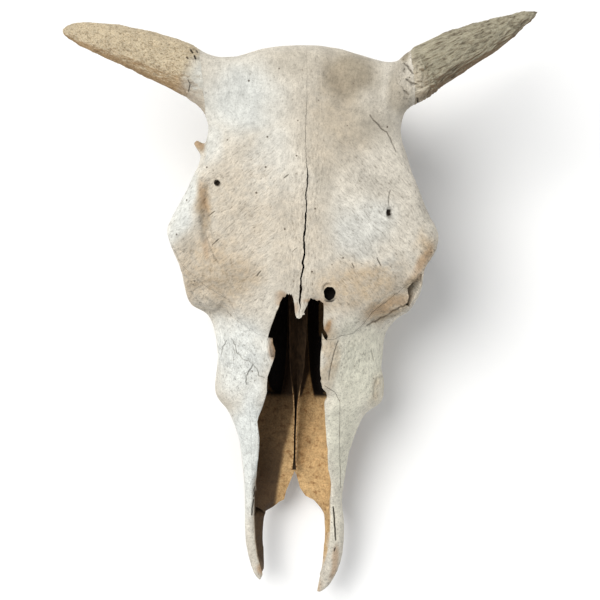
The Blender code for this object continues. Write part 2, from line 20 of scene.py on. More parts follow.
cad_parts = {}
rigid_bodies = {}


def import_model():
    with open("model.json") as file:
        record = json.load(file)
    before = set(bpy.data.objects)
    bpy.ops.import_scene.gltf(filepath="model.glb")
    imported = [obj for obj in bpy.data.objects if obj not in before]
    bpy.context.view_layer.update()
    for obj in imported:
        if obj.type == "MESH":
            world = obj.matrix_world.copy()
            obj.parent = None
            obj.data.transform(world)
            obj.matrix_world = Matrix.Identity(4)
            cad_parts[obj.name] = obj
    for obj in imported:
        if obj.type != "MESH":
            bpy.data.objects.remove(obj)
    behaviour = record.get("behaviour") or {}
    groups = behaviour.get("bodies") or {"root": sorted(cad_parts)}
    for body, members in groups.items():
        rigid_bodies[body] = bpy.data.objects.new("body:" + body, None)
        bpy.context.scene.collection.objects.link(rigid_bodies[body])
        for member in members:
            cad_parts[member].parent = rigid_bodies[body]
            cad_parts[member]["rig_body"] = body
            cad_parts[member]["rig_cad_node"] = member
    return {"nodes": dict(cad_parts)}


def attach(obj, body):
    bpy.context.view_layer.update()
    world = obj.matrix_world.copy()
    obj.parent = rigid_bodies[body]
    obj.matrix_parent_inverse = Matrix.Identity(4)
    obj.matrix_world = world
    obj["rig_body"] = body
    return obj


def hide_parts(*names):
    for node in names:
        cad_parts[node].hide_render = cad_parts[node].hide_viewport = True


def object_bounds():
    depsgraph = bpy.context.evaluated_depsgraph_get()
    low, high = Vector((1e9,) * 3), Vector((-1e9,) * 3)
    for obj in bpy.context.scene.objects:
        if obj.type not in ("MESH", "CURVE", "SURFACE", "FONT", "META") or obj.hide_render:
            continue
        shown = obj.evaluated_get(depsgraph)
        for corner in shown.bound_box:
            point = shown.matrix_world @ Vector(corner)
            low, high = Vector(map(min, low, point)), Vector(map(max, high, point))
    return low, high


LOG = logging.getLogger("cow_skull")

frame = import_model()
solid_box = [list(corner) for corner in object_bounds()]

Row = Sequence[float]
Outline = Sequence[Row]
Level = Callable[[np.ndarray], np.ndarray]

BOX_MARGIN = 0.15
ABOVE_ALL = 240.0


# ---------------------------------------------------------------- places and numbers


@dataclass(frozen=True)
class Site:
    """Where the skull's midline lies in the frame, and how the camera sees it."""

    midline_x: float = 9.19
    midline_y: float = 8.15
    eye_height: float = 1600.0
    turn_deg: float = 1.9
    pixels: float = 1690.0
    centre_px: tuple[float, float] = (302.0, 300.0)

    def metres(self, points: np.ndarray) -> np.ndarray:
        """Millimetres about the midline as metres in the frame."""
        return (np.asarray(points, float) + (self.midline_x, self.midline_y, 0.0)) * 0.001

    def millimetres(self, points: np.ndarray) -> np.ndarray:
        """Metres in the frame as millimetres about the midline."""
        return np.asarray(points, float) * 1000.0 - (self.midline_x, self.midline_y, 0.0)

    def seen(self, px: float, py: float, level: float) -> tuple[float, float]:
        """The X and Y at a level that the camera sees at a point of its 600 by 600 view.

        Args:
            px: Distance from the view's left edge.
            py: Distance from the view's top edge.
            level: Height above the floor in millimetres.

        Returns:
            X and Y in millimetres about the midline.
        """
        reach = (self.eye_height - level) / self.pixels
        across = (px - self.centre_px[0]) * reach
        along = (self.centre_px[1] - py) * reach
        turn = math.radians(self.turn_deg)
        return (across * math.cos(turn) - along * math.sin(turn), across * math.sin(turn) + along * math.cos(turn))

    def view(self, points: np.ndarray) -> np.ndarray:
        """Where the camera sees points, as distances from its view's left and top edges.

        Args:
            points: One point a row, in millimetres about the midline.

        Returns:
            One row a point.
        """
        spots = np.asarray(points, float)
        turn = math.radians(self.turn_deg)
        across = spots[:, 0] * math.cos(turn) + spots[:, 1] * math.sin(turn)
        along = spots[:, 1] * math.cos(turn) - spots[:, 0] * math.sin(turn)
        reach = self.pixels / (self.eye_height - spots[:, 2])
        return np.column_stack([self.centre_px[0] + across * reach, self.centre_px[1] - along * reach])

    def touch(self, tree: BVHTree, px: float, py: float) -> np.ndarray:
        """The place on a surface that the camera sees at a point of its view.

        Args:
            tree: The surface.
            px: Distance from the view's left edge.
            py: Distance from the view's top edge.

        Returns:
            X, Y and Z in millimetres about the midline.
        """
        eye = Vector(self.metres((0.0, 0.0, self.eye_height)))
        below = Vector(self.metres((*self.seen(px, py, 0.0), 0.0)))
        spot = tree.ray_cast(eye, (below - eye).normalized())[0] or below
        return self.millimetres(spot)

    def seen_line(self, points: Outline, level: Callable[[float], float]) -> np.ndarray:
        """A line of view points as X and Y, each at the level that belongs to its length along the skull."""
        line = []
        for px, py in points:
            _, along = self.seen(px, py, 150.0)
            line.append(self.seen(px, py, level(along)))
        return np.array(line)


SITE = Site()


def smooth_step(value: np.ndarray, low: float, high: float) -> np.ndarray:
    """A soft rise from 0 at low to 1 at high."""
    t = np.clip((np.asarray(value, float) - low) / (high - low), 0.0, 1.0)
    return t * t * (3.0 - 2.0 * t)


def noise(points: np.ndarray, size: Row | float, seed: int = 0) -> np.ndarray:
    """Smooth noise between about -1 and 1 at points in space.

    Args:
        points: One point a row.
        size: The noise's grain, one number or one along each axis.
        seed: Which noise.

    Returns:
        One value for each point.
    """
    spot = np.asarray(points, float) / np.asarray(size, float) + 31.7 * (seed + 1)
    base = np.floor(spot).astype(np.int64)
    part = spot - base
    part = part * part * (3.0 - 2.0 * part)
    total = np.zeros(len(spot))
    for corner in range(8):
        step = np.array([corner & 1, (corner >> 1) & 1, (corner >> 2) & 1])
        cell = base + step
        mixed = cell[:, 0] * 73856093 ^ cell[:, 1] * 19349663 ^ cell[:, 2] * 83492791 ^ (seed * 2654435)
        mixed = (mixed ^ (mixed >> 13)) * 1274126177
        mixed ^= mixed >> 16
        value = (mixed & 0xFFFF) / 32767.5 - 1.0
        weight = np.prod(np.where(step, part, 1.0 - part), axis=1)
        total += value * weight
    return total


def line_distance(points: np.ndarray, line: np.ndarray) -> tuple[np.ndarray, np.ndarray]:
    """How far points lie from a line of straight runs, seen from above.

    Args:
        points: One point a row, of which X and Y are read.
        line: The line's own points.

    Returns:
        The distance of each point, and how far along the line its nearest place is, from 0 to 1.
    """
    flat = np.asarray(points)[:, :2]
    best = np.full(len(flat), 1e9)
    place = np.zeros(len(flat))
    lengths = np.linalg.norm(np.diff(line[:, :2], axis=0), axis=1)
    total = lengths.sum()
    gone = 0.0
    for start, end, length in zip(line[:-1, :2], line[1:, :2], lengths):
        step = end - start
        t = np.clip(((flat - start) @ step) / max(length * length, 1e-9), 0.0, 1.0)
        distance = np.linalg.norm(flat - (start + t[:, None] * step), axis=1)
        nearer = distance < best
        best[nearer] = distance[nearer]
        place[nearer] = (gone + t[nearer] * length) / total
        gone += length
    return best, place


def inside(points: np.ndarray, outline: np.ndarray) -> np.ndarray:
    """Whether each point lies inside a closed outline, seen from above.

    Args:
        points: One point a row, of which X and Y are read.
        outline: The outline's own points.

    Returns:
        True for each point inside.
    """
    x, y = points[:, 0], points[:, 1]
    odd = np.zeros(len(points), bool)
    for (ax, ay), (bx, by) in zip(outline[:, :2], np.roll(outline[:, :2], -1, axis=0)):
        crosses = (ay > y) != (by > y)
        with np.errstate(divide="ignore", invalid="ignore"):
            at = ax + (y - ay) / (by - ay) * (bx - ax)
        odd ^= crosses & (x < at)
    return odd


def always(value: float) -> Level:
    """A rule that gives the same number at every place.

    Args:
        value: The number.

    Returns:
        The rule.
    """

    def rule(places: np.ndarray) -> np.ndarray:
        """One number a place."""
        return np.full(len(places), value)

    return rule


def levels_along(lengths: Row, levels: Row) -> Callable[[float], float]:
    """A rule that gives the level at a length along the skull.

    Args:
        lengths: Lengths along the skull.
        levels: The level at each.

    Returns:
        The rule.
    """

    def rule(along: float) -> float:
        """The level there."""
        return float(np.interp(along, lengths, levels))

    return rule


def rough_line(line: Outline, step: float, sway: float, seed: int) -> np.ndarray:
    """A line with the small turns of a suture.

    Args:
        line: The line's own points.
        step: Spacing of the new points.
        sway: How far a turn leaves the line.
        seed: Which turns.

    Returns:
        The new points.
    """
    rows = np.array(line, float)
    lengths = np.concatenate([[0.0], np.cumsum(np.linalg.norm(np.diff(rows[:, :2], axis=0), axis=1))])
    count = max(2, int(lengths[-1] / step) + 1)
    places = np.linspace(0.0, lengths[-1], count)
    fresh = np.column_stack([np.interp(places, lengths, rows[:, k]) for k in range(rows.shape[1])])
    along = np.gradient(fresh[:, :2], axis=0)
    along /= np.maximum(np.linalg.norm(along, axis=1), 1e-9)[:, None]
    spots = np.column_stack([places, np.zeros(count), np.zeros(count)])
    swing = noise(spots, 3.6, seed) + 0.7 * noise(spots, 1.5, seed + 50)
    ends = np.minimum(smooth_step(places, 0, 4), smooth_step(lengths[-1] - places, 0, 4))
    fresh[:, :2] += np.column_stack([-along[:, 1], along[:, 0]]) * (sway * swing * ends)[:, None]
    return fresh


# ---------------------------------------------------------------- working a mesh


def pick(*items: bpy.types.Object) -> None:
    """Make these the only selected objects, the first one active."""
    if bpy.context.object and bpy.context.object.mode != "OBJECT":
        bpy.ops.object.mode_set(mode="OBJECT")
    bpy.ops.object.select_all(action="DESELECT")
    for item in items:
        item.select_set(True)
    bpy.context.view_layer.objects.active = items[0]


def corners(item: bpy.types.Object) -> np.ndarray:
    """A mesh object's points in millimetres about the midline."""
    flat = np.empty(len(item.data.vertices) * 3)
    item.data.vertices.foreach_get("co", flat)
    return SITE.millimetres(flat.reshape(-1, 3))


def place(item: bpy.types.Object, points: np.ndarray) -> None:
    """Put a mesh object's points where they are given, in millimetres about the midline."""
    item.data.vertices.foreach_set("co", SITE.metres(points).ravel())
    item.data.update()


def outward(item: bpy.types.Object) -> np.ndarray:
    """The direction that the surface faces at each point of a mesh object."""
    flat = np.empty(len(item.data.vertices) * 3)
    item.data.vertices.foreach_get("normal", flat)
    return flat.reshape(-1, 3)


def new_object(name: str, points: np.ndarray, faces: Sequence[Sequence[int]]) -> bpy.types.Object:
    """A mesh object from points in millimetres about the midline.

    Args:
        name: The object's name.
        points: One point a row.
        faces: The numbers of each face's points.

    Returns:
        The object, linked to the scene.
    """
    mesh = bpy.data.meshes.new(name)
    mesh.from_pydata([tuple(p) for p in SITE.metres(points)], [], faces)
    item = bpy.data.objects.new(name, mesh)
    bpy.context.scene.collection.objects.link(item)
    return item


def apply_modifier(item: bpy.types.Object, kind: str, **settings: object) -> None:
    """Add one modifier with its settings and apply it.

    Args:
        item: The object.
        kind: The modifier's type.
        **settings: The modifier's own settings.
    """
    pick(item)
    modifier = item.modifiers.new(kind.lower(), kind)
    for key, value in settings.items():
        setattr(modifier, key, value)
    bpy.ops.object.modifier_apply(modifier=modifier.name)


def combine(item: bpy.types.Object, other: bpy.types.Object, way: str) -> None:
    """Cut an object by another, which is used up."""
    apply_modifier(item, "BOOLEAN", operation=way, solver="MANIFOLD", object=other)
    bpy.data.objects.remove(other, do_unlink=True)


def soften(item: bpy.types.Object, rounds: int, keep: float = 0.02, reach: float = 0.6) -> None:
    """Even out a surface's facets and keep its thickness.

    Args:
        item: The mesh object.
        rounds: How often each point moves towards its neighbours and back.
        keep: How fine a form must be to be evened out.
        reach: How far a point moves each time.
    """
    mesh = item.data
    ends = np.empty(len(mesh.edges) * 2, np.int64)
    mesh.edges.foreach_get("vertices", ends)
    a, b = ends[0::2], ends[1::2]
    count = len(mesh.vertices)
    near = np.maximum(np.bincount(a, minlength=count) + np.bincount(b, minlength=count), 1)
    back = 1.0 / (keep - 1.0 / reach)
    spots = corners(item)
    for _ in range(rounds):
        for factor in (reach, back):
            middle = np.empty_like(spots)
            for k in range(3):
                middle[:, k] = np.bincount(a, spots[b, k], count) + np.bincount(b, spots[a, k], count)
            spots += factor * (middle / near[:, None] - spots)
    place(item, spots)


def refine(item: bpy.types.Object, chosen: Callable[[np.ndarray], np.ndarray], cuts: int) -> None:
    """Divide the faces in a region more finely.

    Args:
        item: The mesh object.
        chosen: Says which face centres, in millimetres about the midline, belong to the region.
        cuts: How many cuts each edge gets.
    """
    mesh = item.data
    centres = np.empty(len(mesh.polygons) * 3)
    mesh.polygons.foreach_get("center", centres)
    mask = chosen(SITE.millimetres(centres.reshape(-1, 3)))
    pick(item)
    bpy.ops.object.mode_set(mode="EDIT")
    bpy.ops.mesh.select_mode(type="FACE")
    bpy.ops.mesh.select_all(action="DESELECT")
    bpy.ops.object.mode_set(mode="OBJECT")
    mesh.polygons.foreach_set("select", mask)
    bpy.ops.object.mode_set(mode="EDIT")
    bpy.ops.mesh.subdivide(number_cuts=cuts)
    bpy.ops.object.mode_set(mode="OBJECT")


def boxed(points: np.ndarray) -> np.ndarray:
    """The points, in millimetres about the midline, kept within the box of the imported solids."""
    low, high = SITE.millimetres(np.array(solid_box))
    return np.clip(points, low, high - BOX_MARGIN)


def paint(item: bpy.types.Object, name: str, values: np.ndarray) -> None:
    """Store one number at each point of a mesh for a finish to read."""
    layer = item.data.attributes.new(name, "FLOAT", "POINT")
    layer.data.foreach_set("value", np.clip(values, 0.0, 1.0).astype(np.float32))


def surface(item: bpy.types.Object) -> BVHTree:
    """A mesh object's surface, to look for places on it."""
    return BVHTree.FromObject(item, bpy.context.evaluated_depsgraph_get())


def pillar(name: str, outline: np.ndarray, low: np.ndarray | float, high: np.ndarray | float) -> bpy.types.Object:
    """A closed upright body over an outline.

    Args:
        name: The body's name.
        outline: X and Y of its outline.
        low: The level of its underside, one number or one for each outline point.
        high: The level of its top, in the same way.

    Returns:
        The body.
    """
    count = len(outline)
    bottom = np.column_stack([outline[:, :2], np.broadcast_to(low, count)])
    top = np.column_stack([outline[:, :2], np.broadcast_to(high, count)])
    ahead = np.roll(bottom, -1, axis=0)
    if np.sum(bottom[:, 0] * ahead[:, 1] - ahead[:, 0] * bottom[:, 1]) < 0:
        bottom, top = bottom[::-1], top[::-1]
    faces: list[Sequence[int]] = [tuple(range(count))[::-1], tuple(range(count, 2 * count))]
    faces += [(i, (i + 1) % count, count + (i + 1) % count, count + i) for i in range(count)]
    item = new_object(name, np.vstack([bottom, top]), faces)
    apply_modifier(item, "TRIANGULATE")
    return item


def united(bodies: Iterable[bpy.types.Object]) -> bpy.types.Object:
    """Several bodies welded into the first one."""
    whole = None
    for body in bodies:
        if whole is None:
            whole = body
        else:
            combine(whole, body, "UNION")
    return whole


# ---------------------------------------------------------------- the skull's skin

VOMER = "vomer"
SKIN_NODES = tuple(name for name in sorted(frame["nodes"]) if name != VOMER)


@cache
def packed_surface() -> BVHTree:
    """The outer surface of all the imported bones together."""
    spots: list[Vector] = []
    faces: list[tuple[int, ...]] = []
    for name in SKIN_NODES:
        mesh = frame["nodes"][name].data
        start = len(spots)
        spots += [vertex.co for vertex in mesh.vertices]
        faces += [tuple(start + k for k in face.vertices) for face in mesh.polygons]
    return BVHTree.FromPolygons(spots, faces)


@dataclass
class NasalOpening:
    """The open nose with its broken upper rim and the tongue of bone between its two notches."""

    left_rim: Outline = (
        (296.8, 317.4), (295.6, 314.5), (295.0, 311.0), (294.5, 304.7), (293.8, 299.7), (292.7, 296.2),
        (291.4, 293.8), (290.6, 294.8), (289.6, 293.2), (288.6, 294.6), (287.2, 293.4), (286.3, 294.2),
        (285.4, 296.6), (284.4, 297.3), (282.9, 296.6), (281.6, 299.6), (280.0, 302.4), (279, 307), (276.5, 312),
        (273.5, 320.5), (271, 327), (268.6, 334.8), (268.2, 337.4), (271.6, 338.2), (273.8, 335.2), (276.6, 336.4),
        (276.2, 345), (274.6, 357), (271.8, 365), (267.6, 377), (267, 384), (266.8, 392), (264.9, 399),
        (262.6, 407), (258.6, 417), (257.4, 422), (259.3, 438), (258.9, 449), (257.2, 463), (256.2, 478),
        (255.2, 500),
    )
    right_rim: Outline = (
        (301.4, 317.0), (302.2, 314.8), (304.8, 314.3), (303.7, 312.0), (305.4, 308.4), (307.4, 304.8),
        (308.0, 301.8), (309.4, 300.2), (310.4, 297.9), (311.6, 298.2), (313.2, 299.4), (314.8, 299.2),
        (317, 300.8), (319.3, 300.0), (321.2, 301.7), (323.4, 303.0), (323.8, 307), (323.8, 315.6), (323.5, 322.9),
        (324.0, 329.4), (326.4, 332.8), (327.9, 336.4), (326.8, 340), (324.6, 338.6), (322.8, 335.4),
        (321.8, 332.3), (321.6, 326.6), (320.6, 324.4), (319.6, 325.2), (319.1, 329), (319.0, 346), (318.8, 359),
        (320.2, 372), (321.2, 385), (321.8, 394), (324.4, 400), (325.2, 419), (328, 464), (328.6, 480),
        (327.8, 500),
    )
    tongue_tip: Row = (299.2, 318.4)

    def level(self, along: float) -> float:
        """The level of the rim at a length along the skull."""
        return float(np.interp(along, (-270, -200, -150, -80, -20, 10), (34, 50, 78, 112, 142, 156)))

    def outline(self) -> np.ndarray:
        """X and Y of the whole rim, once round."""
        left = SITE.seen_line(self.left_rim, self.level)
        right = SITE.seen_line(self.right_rim, self.level)
        tongue = SITE.seen_line([self.tongue_tip], self.level)
        return np.vstack([left[::-1], tongue, right])

    def close_in(self, skin: bpy.types.Object) -> None:
        """Bring the rim a little inward, so that its true outline can be cut from it.

        Args:
            skin: The whole skin.
        """
        spots = corners(skin)
        outline = self.outline()
        near, _ = line_distance(spots, np.vstack([outline, outline[:1]]))
        within = inside(spots, outline)
        floor = np.interp(spots[:, 1], (-260, -190, -150, -60, 20), (22, 34, 56, 72, 112))
        outer_reach = smooth_step(-near, -13.0, -1.0)
        inner_reach = smooth_step(-near, -9.0, -3.0)
        strength = np.where(spots[:, 2] > floor, np.where(within, inner_reach, outer_reach), 0.0)
        strength *= smooth_step(spots[:, 1], -168, -150) * (np.abs(spots[:, 0]) > 12)
        centre = np.interp(spots[:, 1], (-260, -100, 0), (-3.0, -5.0, 0.5))
        spots[:, 0] += np.sign(centre - spots[:, 0]) * strength * 2.6
        place(skin, spots)

    def cutter(self) -> bpy.types.Object:
        """The body that opens the nose along its true rim."""
        outline = self.outline()
        depth = np.interp(outline[:, 1], (-200, -165, -140, -80, 10), (1, 8, 18, 22, 36))
        rim = np.array([self.level(along) for along in outline[:, 1]])
        return pillar("nasal_opening", outline, rim - depth, ABOVE_ALL)


@dataclass(frozen=True)
class Blank:
    """Spare bone laid level with the surface around it, from which a crisp edge is cut."""

    name: str
    corners_px: Outline
    props_px: Outline
    thickness: float

    def body(self, tree: BVHTree) -> bpy.types.Object:
        """Lay the spare bone.

        Args:
            tree: The surface that it continues.

        Returns:
            The body, whose top lies in the plane through the props.
        """
        props = np.array([SITE.touch(tree, *spot) for spot in self.props_px])
        plane, *_ = np.linalg.lstsq(np.column_stack([props[:, :2], np.ones(len(props))]), props[:, 2], rcond=None)
        ground = np.array([SITE.seen(*spot, props[:, 2].mean()) for spot in self.corners_px])
        top = ground @ plane[:2] + plane[2]
        return pillar(self.name, ground, top - self.thickness, top)


@dataclass(frozen=True)
class Chisel:
    """A cut between two lines of the camera's view, each at its own depth under the surface."""

    name: str
    shallow: Outline
    deep: Outline
    shallow_depth: float
    deep_depth: float
    levels: tuple[float, ...] = ()

    def body(self, tree: BVHTree) -> bpy.types.Object:
        """The body that cuts, above its slanting underside.

        Args:
            tree: The surface that it cuts.

        Returns:
            The body.
        """
        if self.levels:
            first = np.array([(*SITE.seen(*spot, z), z) for spot, z in zip(self.shallow, self.levels)])
        else:
            first = np.array([SITE.touch(tree, *spot) for spot in self.shallow])
        near = [np.argmin([math.dist(spot, other) for other in self.shallow]) for spot in self.deep]
        level = first[near, 2]
        second = np.array([(*SITE.seen(*spot, z), z) for spot, z in zip(self.deep, level)])
        rows = np.vstack([first, second[::-1]])
        low = rows[:, 2] - np.repeat((self.shallow_depth, self.deep_depth), (len(first), len(second)))
        return pillar(self.name, rows, low, rows[:, 2].max() + 12.0)


@dataclass
class SeenOutline:
    """The skull's outline as the camera sees it, to which the skin is drawn."""

    lines: tuple[Outline, ...] = (
        ((199, 49.5), (207, 54), (220, 57), (237, 56), (260, 49), (281, 46), (300, 45), (318, 45.5), (341, 49),
         (359, 54.5), (377, 60), (388, 62.5), (399, 60)),
        ((197, 105), (202, 110), (205.6, 116), (208.6, 127), (207.4, 135)),
        ((201, 158), (196, 170), (187.5, 189), (175, 211), (168, 225), (167, 232), (170.5, 245), (175, 255),
         (181, 270), (183, 279), (185, 288), (189, 302), (197, 308), (208, 314), (213, 324), (216.6, 341),
         (218, 359), (216, 376), (215, 387), (216.6, 396), (222, 403), (229, 412), (234, 423), (239.5, 440),
         (243, 470), (244.4, 486), (245, 502), (245, 528), (246, 544), (250, 562), (254, 573), (258, 578.6)),
        ((408, 108), (403.6, 116), (400.4, 128.6), (402, 141), (407.5, 157), (413, 175), (420, 193), (427, 211),
         (436, 227), (438.8, 236), (437, 248), (432, 258), (424.5, 268), (423, 280), (422, 287), (418, 298),
         (408, 313), (400, 316), (391, 325), (386, 332), (384, 341), (382, 359), (381, 371), (384, 376), (384, 387),
         (383, 398), (380, 404), (373, 408), (364, 415), (358, 427), (353, 440), (349, 452), (346, 469),
         (342.6, 489), (342, 502), (344, 521), (344, 538), (342, 557), (337, 572), (330, 584), (321, 592),
         (315.4, 591), (316, 582)),
        ((198, 48), (182, 40), (157, 33), (121, 25), (86, 22), (70, 23.4), (63.4, 29), (63.2, 34), (67, 38),
         (86, 49), (121, 65), (148, 78), (175, 91), (186, 97), (196, 104)),
        ((406, 54), (418, 45), (445, 33), (475, 23), (502, 16), (531, 8.6), (538.6, 9.6), (537.8, 13.5),
         (530, 22.5), (511.3, 39), (490, 55.5), (469, 68.5), (448, 82.5), (427, 97), (416.6, 103.5), (409, 108.5)),
    )
    step_px: float = 3.5
    reach_px: float = 5.5
    window_px: float = 11.0
    rounds: int = 3

    def targets(self) -> Iterable[tuple[np.ndarray, np.ndarray]]:
        """Places along the outline, each with its outward direction."""
        centre = np.array((302.0, 220.0))
        for line in self.lines:
            places = rough_line(line, self.step_px, 0.0, 0)
            along = np.gradient(places, axis=0)
            along /= np.linalg.norm(along, axis=1)[:, None]
            out = np.column_stack([-along[:, 1], along[:, 0]])
            yield from zip(places, out if np.sum(out * (places - centre)) > 0 else -out)

    def moves(self, seen: np.ndarray) -> np.ndarray:
        """How far each point of the skin moves in the camera's view.

        Args:
            seen: Where the camera sees the skin's points.

        Returns:
            One move a point, in the view's own measure.
        """
        cell = 3.0 * self.reach_px
        grid = np.floor(seen / cell).astype(int)
        order = np.lexsort((grid[:, 1], grid[:, 0]))
        keys = grid[order, 0] * 4096 + grid[order, 1]
        shift, total, most = np.zeros_like(seen), np.full(len(seen), 1e-6), np.zeros(len(seen))
        for spot, way in self.targets():
            column, row = np.floor(spot / cell).astype(int)
            blocks = []
            for near in (column - 1, column, column + 1):
                low, high = np.searchsorted(keys, (near * 4096 + row - 1, near * 4096 + row + 2))
                blocks.append(order[low:high])
            rows = np.concatenate(blocks)
            apart = seen[rows] - spot
            across, sideways = apart @ way, apart @ np.array((-way[1], way[0]))
            slab = across[(np.abs(sideways) < 1.8) & (np.abs(across) < self.window_px)]
            if len(slab) == 0:
                continue
            edge = slab.max()
            weight = np.exp(-(sideways ** 2 + (across - edge) ** 2) / (2.0 * self.reach_px ** 2))
            shift[rows] -= (weight * edge)[:, None] * way
            total[rows] += weight
            most[rows] = np.maximum(most[rows], weight)
        return shift / total[:, None] * most[:, None]

    def fit(self, skin: bpy.types.Object) -> None:
        """Move the skin's outer edge to the outline, less and less away from the edge."""
        turn = math.radians(SITE.turn_deg)
        for _ in range(self.rounds):
            spots = corners(skin)
            move = self.moves(SITE.view(spots)) * ((SITE.eye_height - spots[:, 2]) / SITE.pixels)[:, None]
            spots[:, 0] += move[:, 0] * math.cos(turn) + move[:, 1] * math.sin(turn)
            spots[:, 1] += move[:, 0] * math.sin(turn) - move[:, 1] * math.cos(turn)
            place(skin, spots)
            LOG.info("outline: largest move %.2f mm", np.abs(move).max())


@dataclass
class SkullSkin:
    """The whole bony skin before it is parted into bones."""

    overlap: float = 0.25
    first_grain: float = 2.3
    rounds: int = 110
    flat_under: float = 0.9
    sinus_hole_px: Row = (329.6, 293.4)
    sinus_hole_radii: Row = (5.1, 5.9)
    blanks: tuple[Blank, ...] = (
        Blank("sinus_stopper", ((319, 283), (340, 283), (341, 303), (319, 304)),
              ((318, 280), (342, 282), (343, 306), (330, 309)), 14.0),
        Blank("tongue_blank", ((288.5, 282), (311, 282), (308, 321), (291, 321)),
              ((294, 268), (306, 268), (297, 286), (304, 286)), 7.0),
        Blank("palate_blank", ((259, 470), (332, 470), (329, 514), (262, 514)),
              ((270, 460), (285, 466), (308, 466), (318, 460)), 5.0),
    )
    chisels: tuple[Chisel, ...] = (
        Chisel("palate_front", ((294.6, 471), (291, 479), (286.4, 490), (284, 499.5), (279.6, 501.4), (276.4, 504),
                                (272, 507.4), (265.4, 511.4), (264.6, 530)),
               ((296.5, 475), (300, 488), (305.5, 496), (314, 500), (321, 508), (323.6, 513), (324, 530)), 60.0,
               60.0),
        Chisel("prong_face_left", ((255.0, 508), (254.8, 516), (256.2, 540), (258.4, 556), (261.5, 569),
                                   (265, 582)),
               ((256, 507), (262, 511), (268, 519), (268, 540), (268, 556), (268, 569), (268, 583)), 0.0, 17.0),
        Chisel("prong_face_right", ((329.6, 506), (330.2, 516), (330, 532), (328.4, 546), (325.4, 558), (321, 572),
                                    (315, 594)),
               ((328.6, 505), (324.5, 511), (320.5, 521), (320.5, 540), (319, 558), (314, 572), (310, 592)), 0.0,
               13.0),
        Chisel("orbit_edge_right", ((422.2, 273), (421.4, 285), (417.2, 294), (410.4, 307.5)),
               ((419.5, 274.2), (410.8, 283.8), (406.8, 288.4), (409, 297), (406.4, 305)), 0.8, 10.0,
               (158.5, 153.0, 146.0, 139.0)),
        Chisel("rim_plate_left", ((267.4, 338.8), (269.2, 346), (271, 357)), ((280, 337), (280, 345), (279, 357)),
               0.3, 9.0),
    )

    def gather(self) -> bpy.types.Object:
        """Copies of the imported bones, joined into one object."""
        copies = []
        for name in SKIN_NODES:
            copy = frame["nodes"][name].copy()
            copy.data = copy.data.copy()
            copy.parent = None
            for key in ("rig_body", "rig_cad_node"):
                if key in copy:
                    del copy[key]
            bpy.context.scene.collection.objects.link(copy)
            copies.append(copy)
        pick(*copies)
        bpy.ops.object.join()
        whole = bpy.context.view_layer.objects.active
        whole.name = "skull_skin"
        whole.data.materials.clear()
        bpy.ops.object.mode_set(mode="EDIT")
        bpy.ops.mesh.select_all(action="SELECT")
        bpy.ops.mesh.remove_doubles(threshold=0.00001)
        bpy.ops.object.mode_set(mode="OBJECT")
        apply_modifier(whole, "DISPLACE", strength=self.overlap * 0.001, mid_level=0.0)
        return whole

    def sinus_hole(self, tree: BVHTree) -> bpy.types.Object:
        """The body that cuts the chipped round hole in the forehead.

        Args:
            tree: The surface that it cuts.

        Returns:
            The body.
        """
        centre = SITE.touch(tree, *self.sinus_hole_px)
        turns = np.linspace(0, 2 * math.pi, 48, endpoint=False)
        ripple = 1.0 + 0.035 * np.sin(3 * turns + 0.6) + 0.03 * np.sin(7 * turns)
        ring = np.column_stack([np.cos(turns) * self.sinus_hole_radii[0], np.sin(turns) * self.sinus_hole_radii[1]])
        return pillar("sinus_hole", centre[:2] + ring * ripple[:, None], centre[2] - 13.0, centre[2] + 20.0)

    def build(self) -> bpy.types.Object:
        """Weld the copies with the spare bone, even out their facets and draw the skin's edge to the outline."""
        skin = self.gather()
        tree = surface(skin)
        pick(skin, *(blank.body(tree) for blank in self.blanks))
        bpy.ops.object.join()
        apply_modifier(skin, "REMESH", mode="VOXEL", voxel_size=self.first_grain * 0.001)
        soften(skin, self.rounds)
        spots = corners(skin) - outward(skin) * self.overlap
        spots[:, 2] = np.where(spots[:, 2] < self.flat_under, 0.0, spots[:, 2])
        place(skin, spots)
        apply_modifier(skin, "SUBSURF", levels=1, render_levels=1, boundary_smooth="ALL")
        SeenOutline().fit(skin)
        LOG.info("skin: %d faces", len(skin.data.polygons))
        return skin

    def open_up(self, skin: bpy.types.Object, opening: NasalOpening) -> None:
        """Cut the nose, the sinus hole and the chiselled edges.

        Args:
            skin: The whole skin.
            opening: The open nose.
        """
        opening.close_in(skin)
        tree = surface(skin)
        cuts = [opening.cutter(), self.sinus_hole(tree), *(chisel.body(tree) for chisel in self.chisels)]
        combine(skin, united(cuts), "DIFFERENCE")


# ---------------------------------------------------------------- marks on the bone


class Cut(Enum):
    """The profile of a mark across its line."""

    GROOVE = "groove"
    SCRATCH = "scratch"


